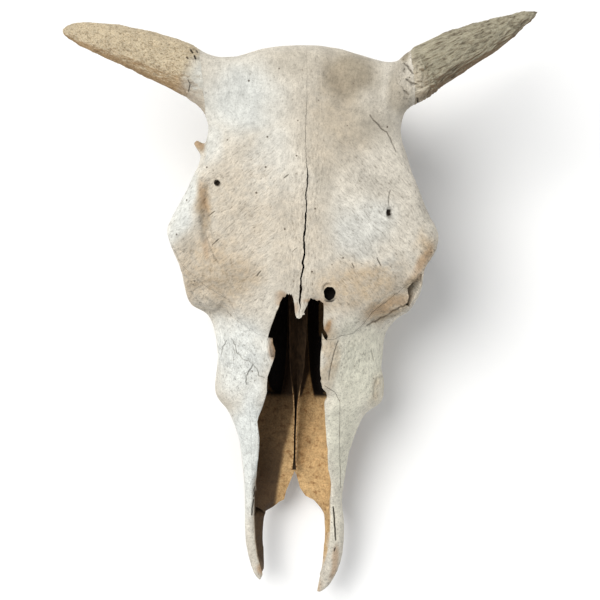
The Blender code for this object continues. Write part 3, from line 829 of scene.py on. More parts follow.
@dataclass(frozen=True)
class RoughPlaces:
    """Where the bone is pitted and knobbly: soft ovals in the camera's view."""

    ovals: tuple[tuple[Row, Row, float], ...] = (
        ((240, 362), (24, 48), 0.9), ((196, 292), (20, 20), 0.8), ((182, 262), (13, 26), 0.7),
        ((430, 254), (13, 28), 0.9), ((412, 290), (16, 16), 0.7), ((374, 387), (14, 17), 0.7),
        ((350, 360), (26, 36), 0.6), ((228, 392), (12, 18), 0.6), ((407, 78), (11, 32), 2.4),
        ((252, 565), (12, 16), 0.9), ((322, 580), (14, 16), 0.9), ((194, 74), (10, 30), 0.6),
        ((392, 306), (34, 9), 0.6), ((204, 205), (9, 34), 0.5), ((420, 200), (14, 44), 0.4),
        ((348, 470), (10, 70), 0.5),
    )

    def weight(self, spots: np.ndarray) -> np.ndarray:
        """How rough each place is.

        Args:
            spots: The places, in millimetres about the midline.

        Returns:
            One value a place.
        """
        seen = SITE.view(spots)
        rough = np.zeros(len(spots))
        for (px, py), (half_x, half_y), strength in self.ovals:
            reach = np.hypot((seen[:, 0] - px) / half_x, (seen[:, 1] - py) / half_y)
            rough = np.maximum(rough, strength * (1 - smooth_step(reach, 0.4, 1.2)))
        return rough

    def swell(self, skin: bpy.types.Object) -> None:
        """Raise knobs in the rough places and a faint unevenness all over the face.

        Args:
            skin: The whole skin.
        """
        spots, facing = corners(skin), outward(skin)
        outer = smooth_step(facing[:, 2], 0.0, 0.4) * smooth_step(spots[:, 2], 60, 90) + 0.4 * (spots[:, 2] > 50)
        even = 0.5 * noise(spots, 26.0, 51) + 0.22 * noise(spots, 9.0, 52)
        knobs = 0.55 * noise(spots, 4.2, 53) + 0.4 * noise(spots, 2.6, 54)
        height = (even + knobs * self.weight(spots)) * np.minimum(outer, 1.0)
        place(skin, boxed(spots + facing * height[:, None]))


@dataclass(frozen=True)
class Mark:
    """A line on the bone, with its depth and width."""

    line: Outline
    depth: float
    width: float
    sway: float = 0.0
    # How strongly painted shade darkens the mark.
    dark: float = 0.7
    cut: Cut = Cut.SCRATCH

    def path(self, tree: BVHTree, seed: int) -> np.ndarray:
        """X, Y and Z along the mark on a surface."""
        rows = np.array([SITE.touch(tree, px, py) for px, py in self.line])
        if self.sway:
            return rough_line(rows, 1.2, self.sway, seed)
        return rows

    def profile(self, distance: np.ndarray, along: np.ndarray) -> np.ndarray:
        """How far the mark sinks at each place, as a share of its depth."""
        taper = np.minimum(smooth_step(along, 0, 0.2), smooth_step(1 - along, 0, 0.2)) * 0.7 + 0.3
        if self.cut is Cut.GROOVE:
            return taper * (1 - smooth_step(distance, 0.0, self.width * 0.5))
        return taper * (1 - smooth_step(distance, self.width * 0.15, self.width * 0.5))


@dataclass
class SurfaceMarks:
    """Cracks, scratches, grooves and foramina of the outer surface, and the painted shade along them."""

    marks: tuple[Mark, ...] = (
        Mark(((208, 216), (211.5, 213.5), (215, 211)), 0.8, 1.2),
        Mark(((212, 245), (216, 241.5), (219, 239)), 0.8, 1.2),
        Mark(((257, 276), (259, 273), (261, 271)), 0.7, 1.2),
        Mark(((292.5, 252), (295, 249.5), (297, 248)), 0.5, 1.0, 0.0, 0.5),
        Mark(((284, 178), (286, 176.5), (288.5, 174.6)), 0.7, 1.3),
        Mark(((377, 258), (379, 262), (381, 266)), 0.8, 1.2),
        Mark(((352, 263), (353, 265.5), (354, 268)), 0.6, 1.1),
        Mark(((370, 115), (373, 119), (377, 124), (384, 130), (388, 134), (393, 143), (396, 152)), 0.8, 1.5, 0.9,
             0.6),
        Mark(((333.2, 507), (334.2, 518), (335.0, 530), (335.8, 540)), 2.4, 1.9, 0.35, 1.0),
        Mark(((254.8, 486.5), (254.2, 489), (253.6, 497)), 1.2, 1.4, 0.3, 1.0),
        Mark(((253.4, 500), (252.4, 508), (251.8, 515)), 1.6, 1.8, 0.3, 1.0),
        Mark(((188, 80), (190, 84), (188.6, 92)), 0.8, 1.2, 0.3),
        Mark(((335.2, 548), (334.2, 551)), 0.9, 1.5, 0.2, 1.0),
        Mark(((371, 350), (372.5, 356), (374, 361)), 0.5, 1.1, 0.2, 0.5),
        Mark(((338, 341), (334.5, 351), (332.6, 358), (331, 366), (329.4, 373), (329, 380)), 0.6, 1.3, 0.5, 0.7),
        Mark(((214, 180), (206.5, 190), (204, 205), (203.4, 221), (206, 236), (211, 250)), 4.6, 15.0, 0.0, 0.0,
             Cut.GROOVE),
        Mark(((213, 179.6), (207, 182), (204.6, 194), (203.6, 210), (203, 225), (205, 240)), 5.2, 8.0, 0.4, 0.12,
             Cut.GROOVE),
        Mark(((215.4, 181.2), (218.8, 184.4)), 3.6, 5.6, 0.0, 0.7),
        Mark(((190.6, 49.4), (192.6, 52.6)), 1.4, 2.4, 0.0, 1.0),
        Mark(((194.4, 55.6), (195.6, 58.8)), 1.4, 2.2, 0.0, 1.0),
        Mark(((196.4, 50), (197.4, 52)), 1.1, 1.8, 0.0, 0.8), Mark(((186.6, 57), (188, 58.6)), 1.1, 1.8, 0.0, 0.8),
        Mark(((417.6, 98.4), (419.4, 101.6)), 1.6, 2.6, 0.0, 0.9),
        Mark(((404, 63), (409, 69), (413, 73.6)), 1.3, 2.0, 0.8, 0.7),
        Mark(((406, 79), (412, 83.6), (417, 84)), 1.3, 2.0, 0.8, 0.6),
        Mark(((403.6, 90), (408.6, 94.6)), 1.0, 1.8, 0.5, 0.5),
        Mark(((389.6, 209.2), (388.8, 213), (389.8, 216.6)), 4.0, 5.6, 0.0, 0.55),
        Mark(((323.4, 289.6), (324.2, 286.6), (326.6, 284.6), (330, 284.2)), 1.8, 3.6, 0.0, 0.4, Cut.GROOVE),
        Mark(((390.5, 190), (388.5, 198), (389, 206)), 0.6, 1.4, 0.2, 0.5),
        Mark(((334, 46), (336, 62), (340, 78), (346, 92), (352, 108)), 4.6, 30.0, 0.0, 0.0, Cut.GROOVE),
        Mark(((408, 304), (401, 307.4), (394.7, 310.5), (386, 316), (378.9, 319.4), (367, 325.3)), 1.5, 2.4, 1.0,
             0.6),
        Mark(((194, 305.5), (203, 310.5), (211, 312.8), (218, 309.5), (223, 303)), 1.8, 5.0, 0.5, 0.22, Cut.GROOVE),
        Mark(((382.5, 372), (377.5, 378), (374.5, 386), (374, 398)), 1.2, 3.6, 0.3, 0.15, Cut.GROOVE),
        Mark(((206, 236), (209, 243), (211, 250), (214, 257), (219, 264)), 0.7, 2.0, 0.7, 0.3),
        Mark(((227, 340), (223, 347), (221, 355)), 0.7, 1.3, 0.8, 0.45),
        Mark(((231, 338), (235, 347), (236, 353), (243, 359), (253, 364)), 0.8, 1.4, 1.0, 0.4),
        Mark(((253, 364), (250, 371), (245.5, 375.5), (246.7, 384.4)), 0.9, 1.6, 1.0, 0.6),
        Mark(((253, 364), (256.7, 369), (259, 375.5), (264.4, 377.8)), 0.8, 1.4, 0.9, 0.5),
        Mark(((227, 311), (233, 317), (242, 324.4)), 0.8, 1.5, 1.0, 0.35),
        Mark(((249, 400), (250.5, 425), (251.4, 450), (252, 470)), 0.3, 1.0, 0.4, 0.2),
    )
    close: float = 16.0
    beside: float = 0.8
    cuts: int = 2

    @cached_property
    def paths(self) -> list[np.ndarray]:
        """X, Y and Z along each mark."""
        return [mark.path(packed_surface(), 70 + k) for k, mark in enumerate(self.marks)]

    def press_in(self, skin: bpy.types.Object) -> None:
        """Divide the bone finely along the marks and press them in.

        Args:
            skin: The whole skin.
        """

        def near_a_mark(centres: np.ndarray) -> np.ndarray:
            """Which faces lie close to a thin mark."""
            chosen = np.zeros(len(centres), bool)
            for mark, path in zip(self.marks, self.paths):
                if mark.cut is Cut.SCRATCH:
                    distance, _ = line_distance(centres, path)
                    chosen |= (distance < mark.width + self.beside) & self.level_with(centres, path)
            return chosen

        refine(skin, near_a_mark, self.cuts)
        spots, facing = corners(skin), outward(skin)
        sink = np.zeros(len(spots))
        upper = smooth_step(facing[:, 2], 0.1, 0.4)
        for mark, path in zip(self.marks, self.paths):
            distance, along = line_distance(spots, path)
            depth = mark.depth * mark.profile(distance, along) * self.level_with(spots, path)
            sink = np.maximum(sink, depth)
        place(skin, spots - facing * (sink * upper)[:, None])

    def level_with(self, spots: np.ndarray, path: np.ndarray) -> np.ndarray:
        """Whether each place lies about as high as a mark."""
        return (spots[:, 2] > path[:, 2].min() - self.close) & (spots[:, 2] < path[:, 2].max() + self.close)

    def crevice_shade(self, spots: np.ndarray, facing: np.ndarray) -> np.ndarray:
        """How strongly painted shade darkens each place along the marks that cross it.

        Args:
            spots: The places, in millimetres about the midline.
            facing: The direction that the surface faces there.

        Returns:
            One value a place.
        """
        shade = np.zeros(len(spots))
        for mark, path in zip(self.marks, self.paths):
            distance, _ = line_distance(spots, path)
            near = self.level_with(spots, path) & (facing[:, 2] > 0.0)
            shade = np.maximum(shade, near * mark.dark * (1 - smooth_step(distance, 0.1, mark.width * 0.55)))
        return shade


@dataclass(frozen=True)
class CheekTeeth:
    """The six worn cheek teeth of each side, with furrows between them and between their lobes."""

    lengths: Row = (16.0, 18.0, 19.0, 24.0, 27.0, 29.0)
    front: float = -108.0
    row_x: Row = (43.0, 57.0)
    gum: float = 24.5
    gap_depth: float = 3.4
    lobe_depth: float = 2.1
    premolars: int = 3

    def middle(self, along: np.ndarray) -> np.ndarray:
        """How far from the midline the middle of a row lies."""
        share = np.clip((along - self.front) / sum(self.lengths), 0.0, 1.0)
        return self.row_x[0] + (self.row_x[1] - self.row_x[0]) * share ** 0.8

    def within(self, spots: np.ndarray) -> np.ndarray:
        """How far each place belongs to a tooth.

        Args:
            spots: The places, in millimetres about the midline.

        Returns:
            One value a place.
        """
        rear = self.front + sum(self.lengths)
        gum = self.gum + 1.6 * np.cos((spots[:, 1] - self.front) / 3.4)
        row = (smooth_step(spots[:, 1], self.front - 6, self.front - 3)
               * smooth_step(-spots[:, 1], -rear - 6, -rear - 3))
        beside = np.abs(np.abs(spots[:, 0]) - self.middle(spots[:, 1])) < 17
        return row * beside * smooth_step(gum - spots[:, 2], -0.6, 0.6)

    def furrows(self, spots: np.ndarray) -> np.ndarray:
        """How deep each place lies in a furrow of a tooth's side.

        Args:
            spots: The places, in millimetres about the midline.

        Returns:
            One depth a place, in millimetres.
        """

        def valley(at: float, width: float) -> np.ndarray:
            """A furrow across a row at a length along the skull."""
            return np.exp(-((spots[:, 1] - at) / width) ** 2)

        depth = np.zeros(len(spots))
        start = self.front
        for number, length in enumerate(self.lengths):
            depth = np.maximum(depth, self.gap_depth * valley(start, 1.5))
            lobe = self.lobe_depth if number >= self.premolars else self.lobe_depth * 0.4
            depth = np.maximum(depth, lobe * valley(start + length / 2, 1.7))
            for share in (0.24, 0.76):
                depth -= 0.7 * valley(start + length * share, 1.3)
            start += length
        return np.maximum(depth, self.gap_depth * valley(start, 1.5))

    def cups(self, spots: np.ndarray) -> np.ndarray:
        """How deep each place lies in a crescent of a worn face.

        Args:
            spots: The places, in millimetres about the midline.

        Returns:
            One depth a place, in millimetres.
        """
        depth = np.zeros(len(spots))
        start = self.front
        for number, length in enumerate(self.lengths):
            molar = number >= self.premolars
            for share in (0.27, 0.75) if molar else (0.5,):
                half = length * (0.19 if molar else 0.3)
                reach = length * (0.30 if molar else 0.36)
                u = (np.abs(spots[:, 0]) - self.middle(spots[:, 1]) + 1.0) / reach
                v = (spots[:, 1] - start - share * length) / half
                ring = np.hypot(u, v)
                bow = np.hypot(u + 0.75, v)
                depth = np.maximum(depth, 1.6 * (1 - smooth_step(ring, 0.72, 0.95)) * smooth_step(bow, 0.55, 0.8))
            start += length
        return depth

    def carve(self, skin: bpy.types.Object) -> None:
        """Press the furrows into the sides and the crescents into the worn faces.

        Args:
            skin: The whole skin.
        """
        spots, facing = corners(skin), outward(skin)
        tooth = self.within(spots)
        level = np.linalg.norm(facing[:, :2], axis=1)
        sideways = smooth_step(level, 0.45, 0.8) * tooth
        push = (self.furrows(spots) + 0.8) * sideways
        spots[:, :2] -= facing[:, :2] / np.maximum(level, 0.3)[:, None] * push[:, None]
        worn = smooth_step(-facing[:, 2], 0.8, 0.95) * tooth * (spots[:, 2] < 1.5)
        spots[:, 2] += self.cups(spots) * worn
        place(skin, spots)

    def tones(self, spots: np.ndarray, facing: np.ndarray) -> dict[str, np.ndarray]:
        """Where the enamel lies, and where its furrows and crescents hold dirt.

        Args:
            spots: The places, in millimetres about the midline.
            facing: The direction that the surface faces there.

        Returns:
            One value a place for each tone.
        """
        tooth = self.within(spots)
        worn = smooth_step(-facing[:, 2], 0.3, 0.7)
        dirt = np.maximum(smooth_step(self.furrows(spots), 0.8, 2.6) * (1 - worn),
                          smooth_step(self.cups(spots), 0.3, 0.9) * worn)
        return {"enamel": tooth, "dirt": tooth * dirt * (spots[:, 2] < self.gum)}


# ---------------------------------------------------------------- parting


@dataclass
class Sutures:
    """The thin gaps along which the skin parts into its bones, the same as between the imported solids."""

    gap: float = 0.12
    floor_level: float = 126.0
    floor_slope: float = 0.075
    nasal_slope: float = 0.55
    arch_inside: float = 57.5
    least_points: int = 60
    most_votes: int = 300
    midline_at: Row = (-12, -6, -1, 12, 42, 75, 104, 115, 168, 195)
    midline_widths: Row = (0.15, 0.4, 1.6, 1.7, 1.45, 1.2, 0.95, 0.4, 0.2, 0.1)
    horn_bases: tuple[Outline, Outline] = (
        ((-96, 262), (-94, 215), (-89, 180), (-85, 135)), ((82, 262), (85, 208), (89, 180), (92, 135)),
    )
    nasal_process: Outline = ((22.0, -74.0), (31, -79.5), (36.5, -88), (37, -110), (38.5, -140), (41, -169.5))
    midline_px: Outline = (
        (306.2, 12), (306.4, 44), (306.8, 60), (307, 100), (305.4, 125), (306.2, 162), (308, 177), (306, 199),
        (305.8, 211), (305, 230), (303.5, 242), (304.7, 252), (302.7, 261), (304, 267), (300.8, 279), (300.2, 304),
        (299, 322),
    )
    front_right_px: Outline = (
        (316, 338), (326, 339.4), (334, 339), (342, 334.5), (352, 334), (363, 325), (370, 314.5), (383, 304),
        (398, 292), (409, 283), (423, 270), (436, 256), (452, 240),
    )
    front_left_px: Outline = (
        (286, 341), (276, 339), (268, 336.4), (261, 334), (248, 329.4), (242, 331), (238.6, 329), (237, 317),
        (230, 301), (217, 292), (204, 285), (195, 277), (182, 264), (175, 250), (158, 232),
    )

    def floor(self, along: np.ndarray) -> np.ndarray:
        """The level of the frontal bones' underside."""
        return self.floor_level + self.floor_slope * (np.asarray(along) - 60.0)

    def wall(self, name: str, line: np.ndarray, width: np.ndarray | float, low: Level,
             high: float = ABOVE_ALL) -> bpy.types.Object:
        """An upright gap along a line.

        Args:
            name: The gap's name.
            line: X and Y along it.
            width: Its width, one number or one for each point.
            low: Gives the level of its lower edge.
            high: The level of its upper edge.

        Returns:
            The body that cuts the gap.
        """
        along = np.gradient(line[:, :2], axis=0)
        along /= np.maximum(np.linalg.norm(along, axis=1), 1e-9)[:, None]
        side = np.column_stack([-along[:, 1], along[:, 0]]) * (np.broadcast_to(width, len(line)) / 2)[:, None]
        outline = np.vstack([line[:, :2] + side, (line[:, :2] - side)[::-1]])
        return pillar(name, outline, low(outline), high)

    def shelf(self, name: str, across: tuple[float, float], front: Level, back: Level,
              level: Level) -> bpy.types.Object:
        """A level gap over a region.

        Args:
            name: The gap's name.
            across: The lowest and highest X of the region.
            front: Gives the region's lowest Y at each X.
            back: Gives its highest Y at each X.
            level: Gives the gap's level at each Y.

        Returns:
            The body that cuts the gap.
        """
        xs = np.linspace(*across, max(3, int(abs(across[1] - across[0]) / 2.6)))
        shares = np.linspace(0.0, 1.0, 64)
        ys = front(xs)[None, :] + (back(xs) - front(xs))[None, :] * shares[:, None]
        grid = np.column_stack([np.tile(xs, len(shares)), ys.ravel(), level(ys.ravel())])
        grid[:, 2] += 0.5 * noise(np.column_stack([grid[:, :2], np.zeros(len(grid))]), 7.0, 9)
        columns = len(xs)
        faces = [(j * columns + i, j * columns + i + 1, (j + 1) * columns + i + 1, (j + 1) * columns + i)
                 for j in range(len(shares) - 1) for i in range(columns - 1)]
        item = new_object(name, grid, faces)
        apply_modifier(item, "SOLIDIFY", thickness=self.gap * 0.001, offset=0.0)
        apply_modifier(item, "TRIANGULATE")
        return item

    def front_line(self, side: int) -> np.ndarray:
        """X and Y of the suture in front of one frontal bone."""
        points = self.front_right_px if side > 0 else self.front_left_px
        return SITE.seen_line(points, levels_along((-40, 0, 50), (120, 145, 150)))

    def front_edge(self, across: np.ndarray) -> np.ndarray:
        """Where the level gap under the frontals ends towards the nose.

        Args:
            across: The X of each place.

        Returns:
            The Y there.
        """
        edge = np.where(np.abs(across) < 28, -36.0, 60.0)
        for side in (-1, 1):
            line = self.front_line(side)
            order = np.argsort(line[:, 0])
            edge = np.where(across * side > 0, np.minimum(edge, np.interp(across, line[order, 0], line[order, 1])),
                            edge)
        cheek = 5.0 - 0.58 * (np.abs(across) - 61)
        return np.where(np.abs(across) > 60, np.minimum(edge, cheek), edge)

    def floor_front(self, across: np.ndarray) -> np.ndarray:
        """That end, kept clear of the upright gap in front of it."""
        return np.min([self.front_edge(across + shift) for shift in (-3, -1.5, 0, 1.5, 3)], axis=0) - 2.0

    def under_floor(self, places: np.ndarray) -> np.ndarray:
        """The lower edge of the gaps that end at the level one."""
        return self.floor(places[:, 1]) - 1.5

    def cheek_front(self, across: np.ndarray) -> np.ndarray:
        """Where the level gap under the cheeks starts."""
        return np.where(np.abs(across) < self.arch_inside, 21.5, 2.0 - 0.58 * (np.abs(across) - 61))

    def cheek_back(self, across: np.ndarray) -> np.ndarray:
        """Where the level gap under the cheeks ends."""
        return np.where(np.abs(across) < self.arch_inside, 55.5, 141.0)

    def nasal_floor(self, along: np.ndarray) -> np.ndarray:
        """The level of the gap under the nose's sides."""
        return 96.0 + self.nasal_slope * (along + 80.0)

    def under_nasal_floor(self, places: np.ndarray) -> np.ndarray:
        """The lower edge of the gaps that end at it."""
        return 95.0 + self.nasal_slope * (places[:, 1] + 80.0)

    def opened(self, along: np.ndarray) -> np.ndarray:
        """How wide the forehead's midline gapes at each length."""
        width = np.interp(along, self.midline_at, self.midline_widths)
        return width * (1 + 0.5 * noise(np.column_stack([along, along * 0, along * 0]), 3.0, 21))

    def gaps(self) -> Iterable[bpy.types.Object]:
        """Every gap, one body at a time."""
        through = always(-6.0)
        midline = SITE.seen_line(self.midline_px, levels_along((-20, 60, 200), (150, 180, 196)))
        midline = rough_line(midline, 1.2, 0.5, 3)
        yield self.wall("forehead_midline", midline, self.opened(midline[:, 1]), self.under_floor)
        yield self.wall("palate_midline", rough_line([(0, 25), (0, -180)], 2.0, 0.3, 4), self.gap, through, 126.0)
        for side, seed in ((1, 5), (-1, 6)):
            front = rough_line(self.front_line(side), 1.3, 0.55, seed)
            yield self.wall("frontal_front", front, 0.2 + 0.05 * side, self.under_floor)
        yield self.shelf("frontal_floor", (-150, 150), self.floor_front, always(238.0), self.floor)
        for side, base in zip((-1, 1), self.horn_bases):
            yield self.wall("horn_base", rough_line(base, 1.8, 0.5, 11 + side), 0.05, always(128.0))
            cheek = [(140 * side, -41), (61 * side, 5), (61 * side, 139), (140 * side, 139)]
            yield self.wall("cheek", rough_line(cheek, 1.6, 0.5, 14 + side), self.gap, always(69.5), 134.0)
            ridge = [(30 * side, 22), (30 * side, 54), (90 * side, 54)]
            yield self.wall("tooth_ridge", rough_line(ridge, 2.0, 0.3, 17 + side), self.gap, through, 72.5)
            nasal = rough_line([(across * side, along) for across, along in self.nasal_process], 1.8, 0.4,
                               20 + side)
            yield self.wall("nasal_process", nasal, 0.24 + 0.12 * side, self.under_nasal_floor)
        yield self.wall("palate_rear", rough_line([(-63, 23), (63, 23)], 2.0, 0.4, 30), self.gap, through, 125.0)
        yield self.wall("prong_root", rough_line([(-70, -168), (70, -168)], 2.0, 0.6, 31), self.gap, through)
        for side in (-1, 1):
            across = tuple(sorted((29.0 * side, 145.0 * side)))
            yield self.shelf("cheek_floor", across, self.cheek_front, self.cheek_back, always(71.0))
        yield self.shelf("nasal_process_floor", (-43, 43), always(-170.0), always(-78.5), self.nasal_floor)

    def owner(self, piece: bpy.types.Object, trees: dict[str, BVHTree]) -> str:
        """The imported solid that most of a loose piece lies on.

        Args:
            piece: The piece.
            trees: The solids' surfaces by name.

        Returns:
            The solid's name.
        """
        count = len(piece.data.vertices)
        votes: dict[str, int] = {}
        for k in np.linspace(0, count - 1, min(count, self.most_votes)).astype(int):
            spot = piece.data.vertices[int(k)].co
            _, nearest = min((tree.find_nearest(spot)[3], name) for name, tree in trees.items())
            votes[nearest] = votes.get(nearest, 0) + 1
        found = max(votes, key=votes.get)
        LOG.info("piece of %d points -> %s %s", count, found, votes)
        return found

    def part(self, skin: bpy.types.Object) -> dict[str, bpy.types.Object]:
        """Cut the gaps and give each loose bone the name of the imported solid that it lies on.

        Args:
            skin: The whole skin, which is used up.

        Returns:
            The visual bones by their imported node's name.
        """
        network = united(self.gaps())
        LOG.info("gaps: %d points", len(network.data.vertices))
        combine(skin, network, "DIFFERENCE")
        LOG.info("gaps cut")
        trees = {}
        for name in SKIN_NODES:
            mesh = frame["nodes"][name].data
            trees[name] = BVHTree.FromPolygons([v.co for v in mesh.vertices], [p.vertices for p in mesh.polygons])
        pick(skin)
        bpy.ops.object.mode_set(mode="EDIT")
        bpy.ops.mesh.select_all(action="SELECT")
        bpy.ops.mesh.separate(type="LOOSE")
        bpy.ops.object.mode_set(mode="OBJECT")
        bones: dict[str, bpy.types.Object] = {}
        for piece in list(bpy.context.selected_objects):
            if len(piece.data.vertices) < self.least_points:
                bpy.data.objects.remove(piece, do_unlink=True)
                continue
            owner = self.owner(piece, trees)
            if owner in bones:
                pick(bones[owner], piece)
                bpy.ops.object.join()
            else:
                bones[owner] = piece
        for name, bone in bones.items():
            bone.name = f"{name}_bone"
            bone.data.name = bone.name
        return bones


# ---------------------------------------------------------------- finishes


class Graph:
    """A material's nodes, added and joined by name."""

    def __init__(self, name: str) -> None:
        """Start a material with nothing but its output.

        Args:
            name: The material's name.
        """
        self.material = bpy.data.materials.new(name)
        self.material.use_nodes = True
        self.tree = self.material.node_tree
        self.tree.nodes.clear()
        self.output = self.tree.nodes.new("ShaderNodeOutputMaterial")

    def add(self, kind: str, inputs: dict | None = None, **settings: object) -> bpy.types.Node:
        """Add one node.

        Args:
            kind: The node's type, without its ShaderNode prefix.
            inputs: Values or sockets for its inputs, by name or number.
            **settings: The node's own settings.

        Returns:
            The node.
        """
        node = self.tree.nodes.new("ShaderNode" + kind)
        for key, value in settings.items():
            setattr(node, key, value)
        for key, value in (inputs or {}).items():
            if isinstance(value, bpy.types.NodeSocket):
                self.tree.links.new(value, node.inputs[key])
            else:
                node.inputs[key].default_value = value
        return node

    def number(self, operation: str, *values: object, clamp: bool = False) -> bpy.types.NodeSocket:
        """One step of arithmetic."""
        node = self.add("Math", {i: v for i, v in enumerate(values)}, operation=operation, use_clamp=clamp)
        return node.outputs[0]

    def blend(self, factor: object, first: object, second: object, way: str = "MIX") -> bpy.types.NodeSocket:
        """Mix two colours."""
        node = self.add("Mix", data_type="RGBA", blend_type=way)
        for key, value in ((0, factor), (6, first), (7, second)):
            if isinstance(value, bpy.types.NodeSocket):
                self.tree.links.new(value, node.inputs[key])
            else:
                node.inputs[key].default_value = value
        return node.outputs[2]

    def times(self, first: object, second: object, clamp: bool = False) -> bpy.types.NodeSocket:
        """The product of two values."""
        return self.number("MULTIPLY", first, second, clamp=clamp)

    def plus(self, first: object, second: object) -> bpy.types.NodeSocket:
        """The sum of two values."""
        return self.number("ADD", first, second)

    def larger(self, first: object, second: object, clamp: bool = False) -> bpy.types.NodeSocket:
        """The larger of two values."""
        return self.number("MAXIMUM", first, second, clamp=clamp)

    def shades(self, base: object, rows: Iterable[tuple[object, Outline]]) -> bpy.types.NodeSocket:
        """Darken and lighten a colour by several grey values, each through its own ramp."""
        for value, stops in rows:
            base = self.blend(1.0, base, self.ramp(value, stops), "MULTIPLY")
        return base

    def ramp(self, value: object, stops: Sequence[tuple[float, float]]) -> bpy.types.NodeSocket:
        """A grey value through a ramp of position and brightness.

        Args:
            value: The number that runs along the ramp.
            stops: Position and brightness of each stop.

        Returns:
            The grey value.
        """
        node = self.add("ValToRGB", {0: value})
        elements = node.color_ramp.elements
        while len(elements) < len(stops):
            elements.new(0.5)
        for element, (position, grey) in zip(elements, stops):
            element.position = position
            element.color = (grey, grey, grey, 1.0)
        return node.outputs[0]

    def spot(self) -> bpy.types.NodeSocket:
        """The place on the piece, in metres."""
        return self.add("TexCoord").outputs["Object"]

    def stretch(self, vector: bpy.types.NodeSocket, scale: Row) -> bpy.types.NodeSocket:
        """A place with each of its axes scaled."""
        return self.add("Mapping", {"Vector": vector, "Scale": scale}, vector_type="POINT").outputs[0]

    def noise(self, vector: bpy.types.NodeSocket, scale: float, detail: float,
              roughness: float) -> bpy.types.NodeSocket:
        """A noise texture's grey value."""
        return self.add("TexNoise", {"Vector": vector, "Scale": scale, "Detail": detail,
                                     "Roughness": roughness}).outputs[0]

    def mix_number(self, factor: object, first: object, second: object) -> bpy.types.NodeSocket:
        """Mix two numbers."""
        return self.add("Mix", {0: factor, 2: first, 3: second}, data_type="FLOAT").outputs[0]

    def finish(self, base: object, roughness: float, specular: float,
               normal: bpy.types.NodeSocket) -> bpy.types.Material:
        """Join the colour and the relief to a matte shader.

        Args:
            base: The colour.
            roughness: The shader's roughness.
            specular: The shader's specular level.
            normal: The relief's normal.

        Returns:
            The material.
        """
        shader = self.add("BsdfPrincipled", {"Base Color": base, "Roughness": roughness, "Normal": normal})
        shader.inputs["Specular IOR Level"].default_value = specular
        self.tree.links.new(shader.outputs[0], self.output.inputs[0])
        return self.material

    def mask(self, name: str) -> bpy.types.NodeSocket:
        """A number stored at the mesh's points."""
        return self.add("Attribute", attribute_name=name, attribute_type="GEOMETRY").outputs["Fac"]


def colour(red: float, green: float, blue: float) -> tuple[float, float, float, float]:
    """A screen colour of 0 to 255 as a shader colour."""

    def linear(value: float) -> float:
        """One channel of it."""
        share = value / 255.0
        return share / 12.92 if share <= 0.04045 else ((share + 0.055) / 1.055) ** 2.4

    return (linear(red), linear(green), linear(blue), 1.0)


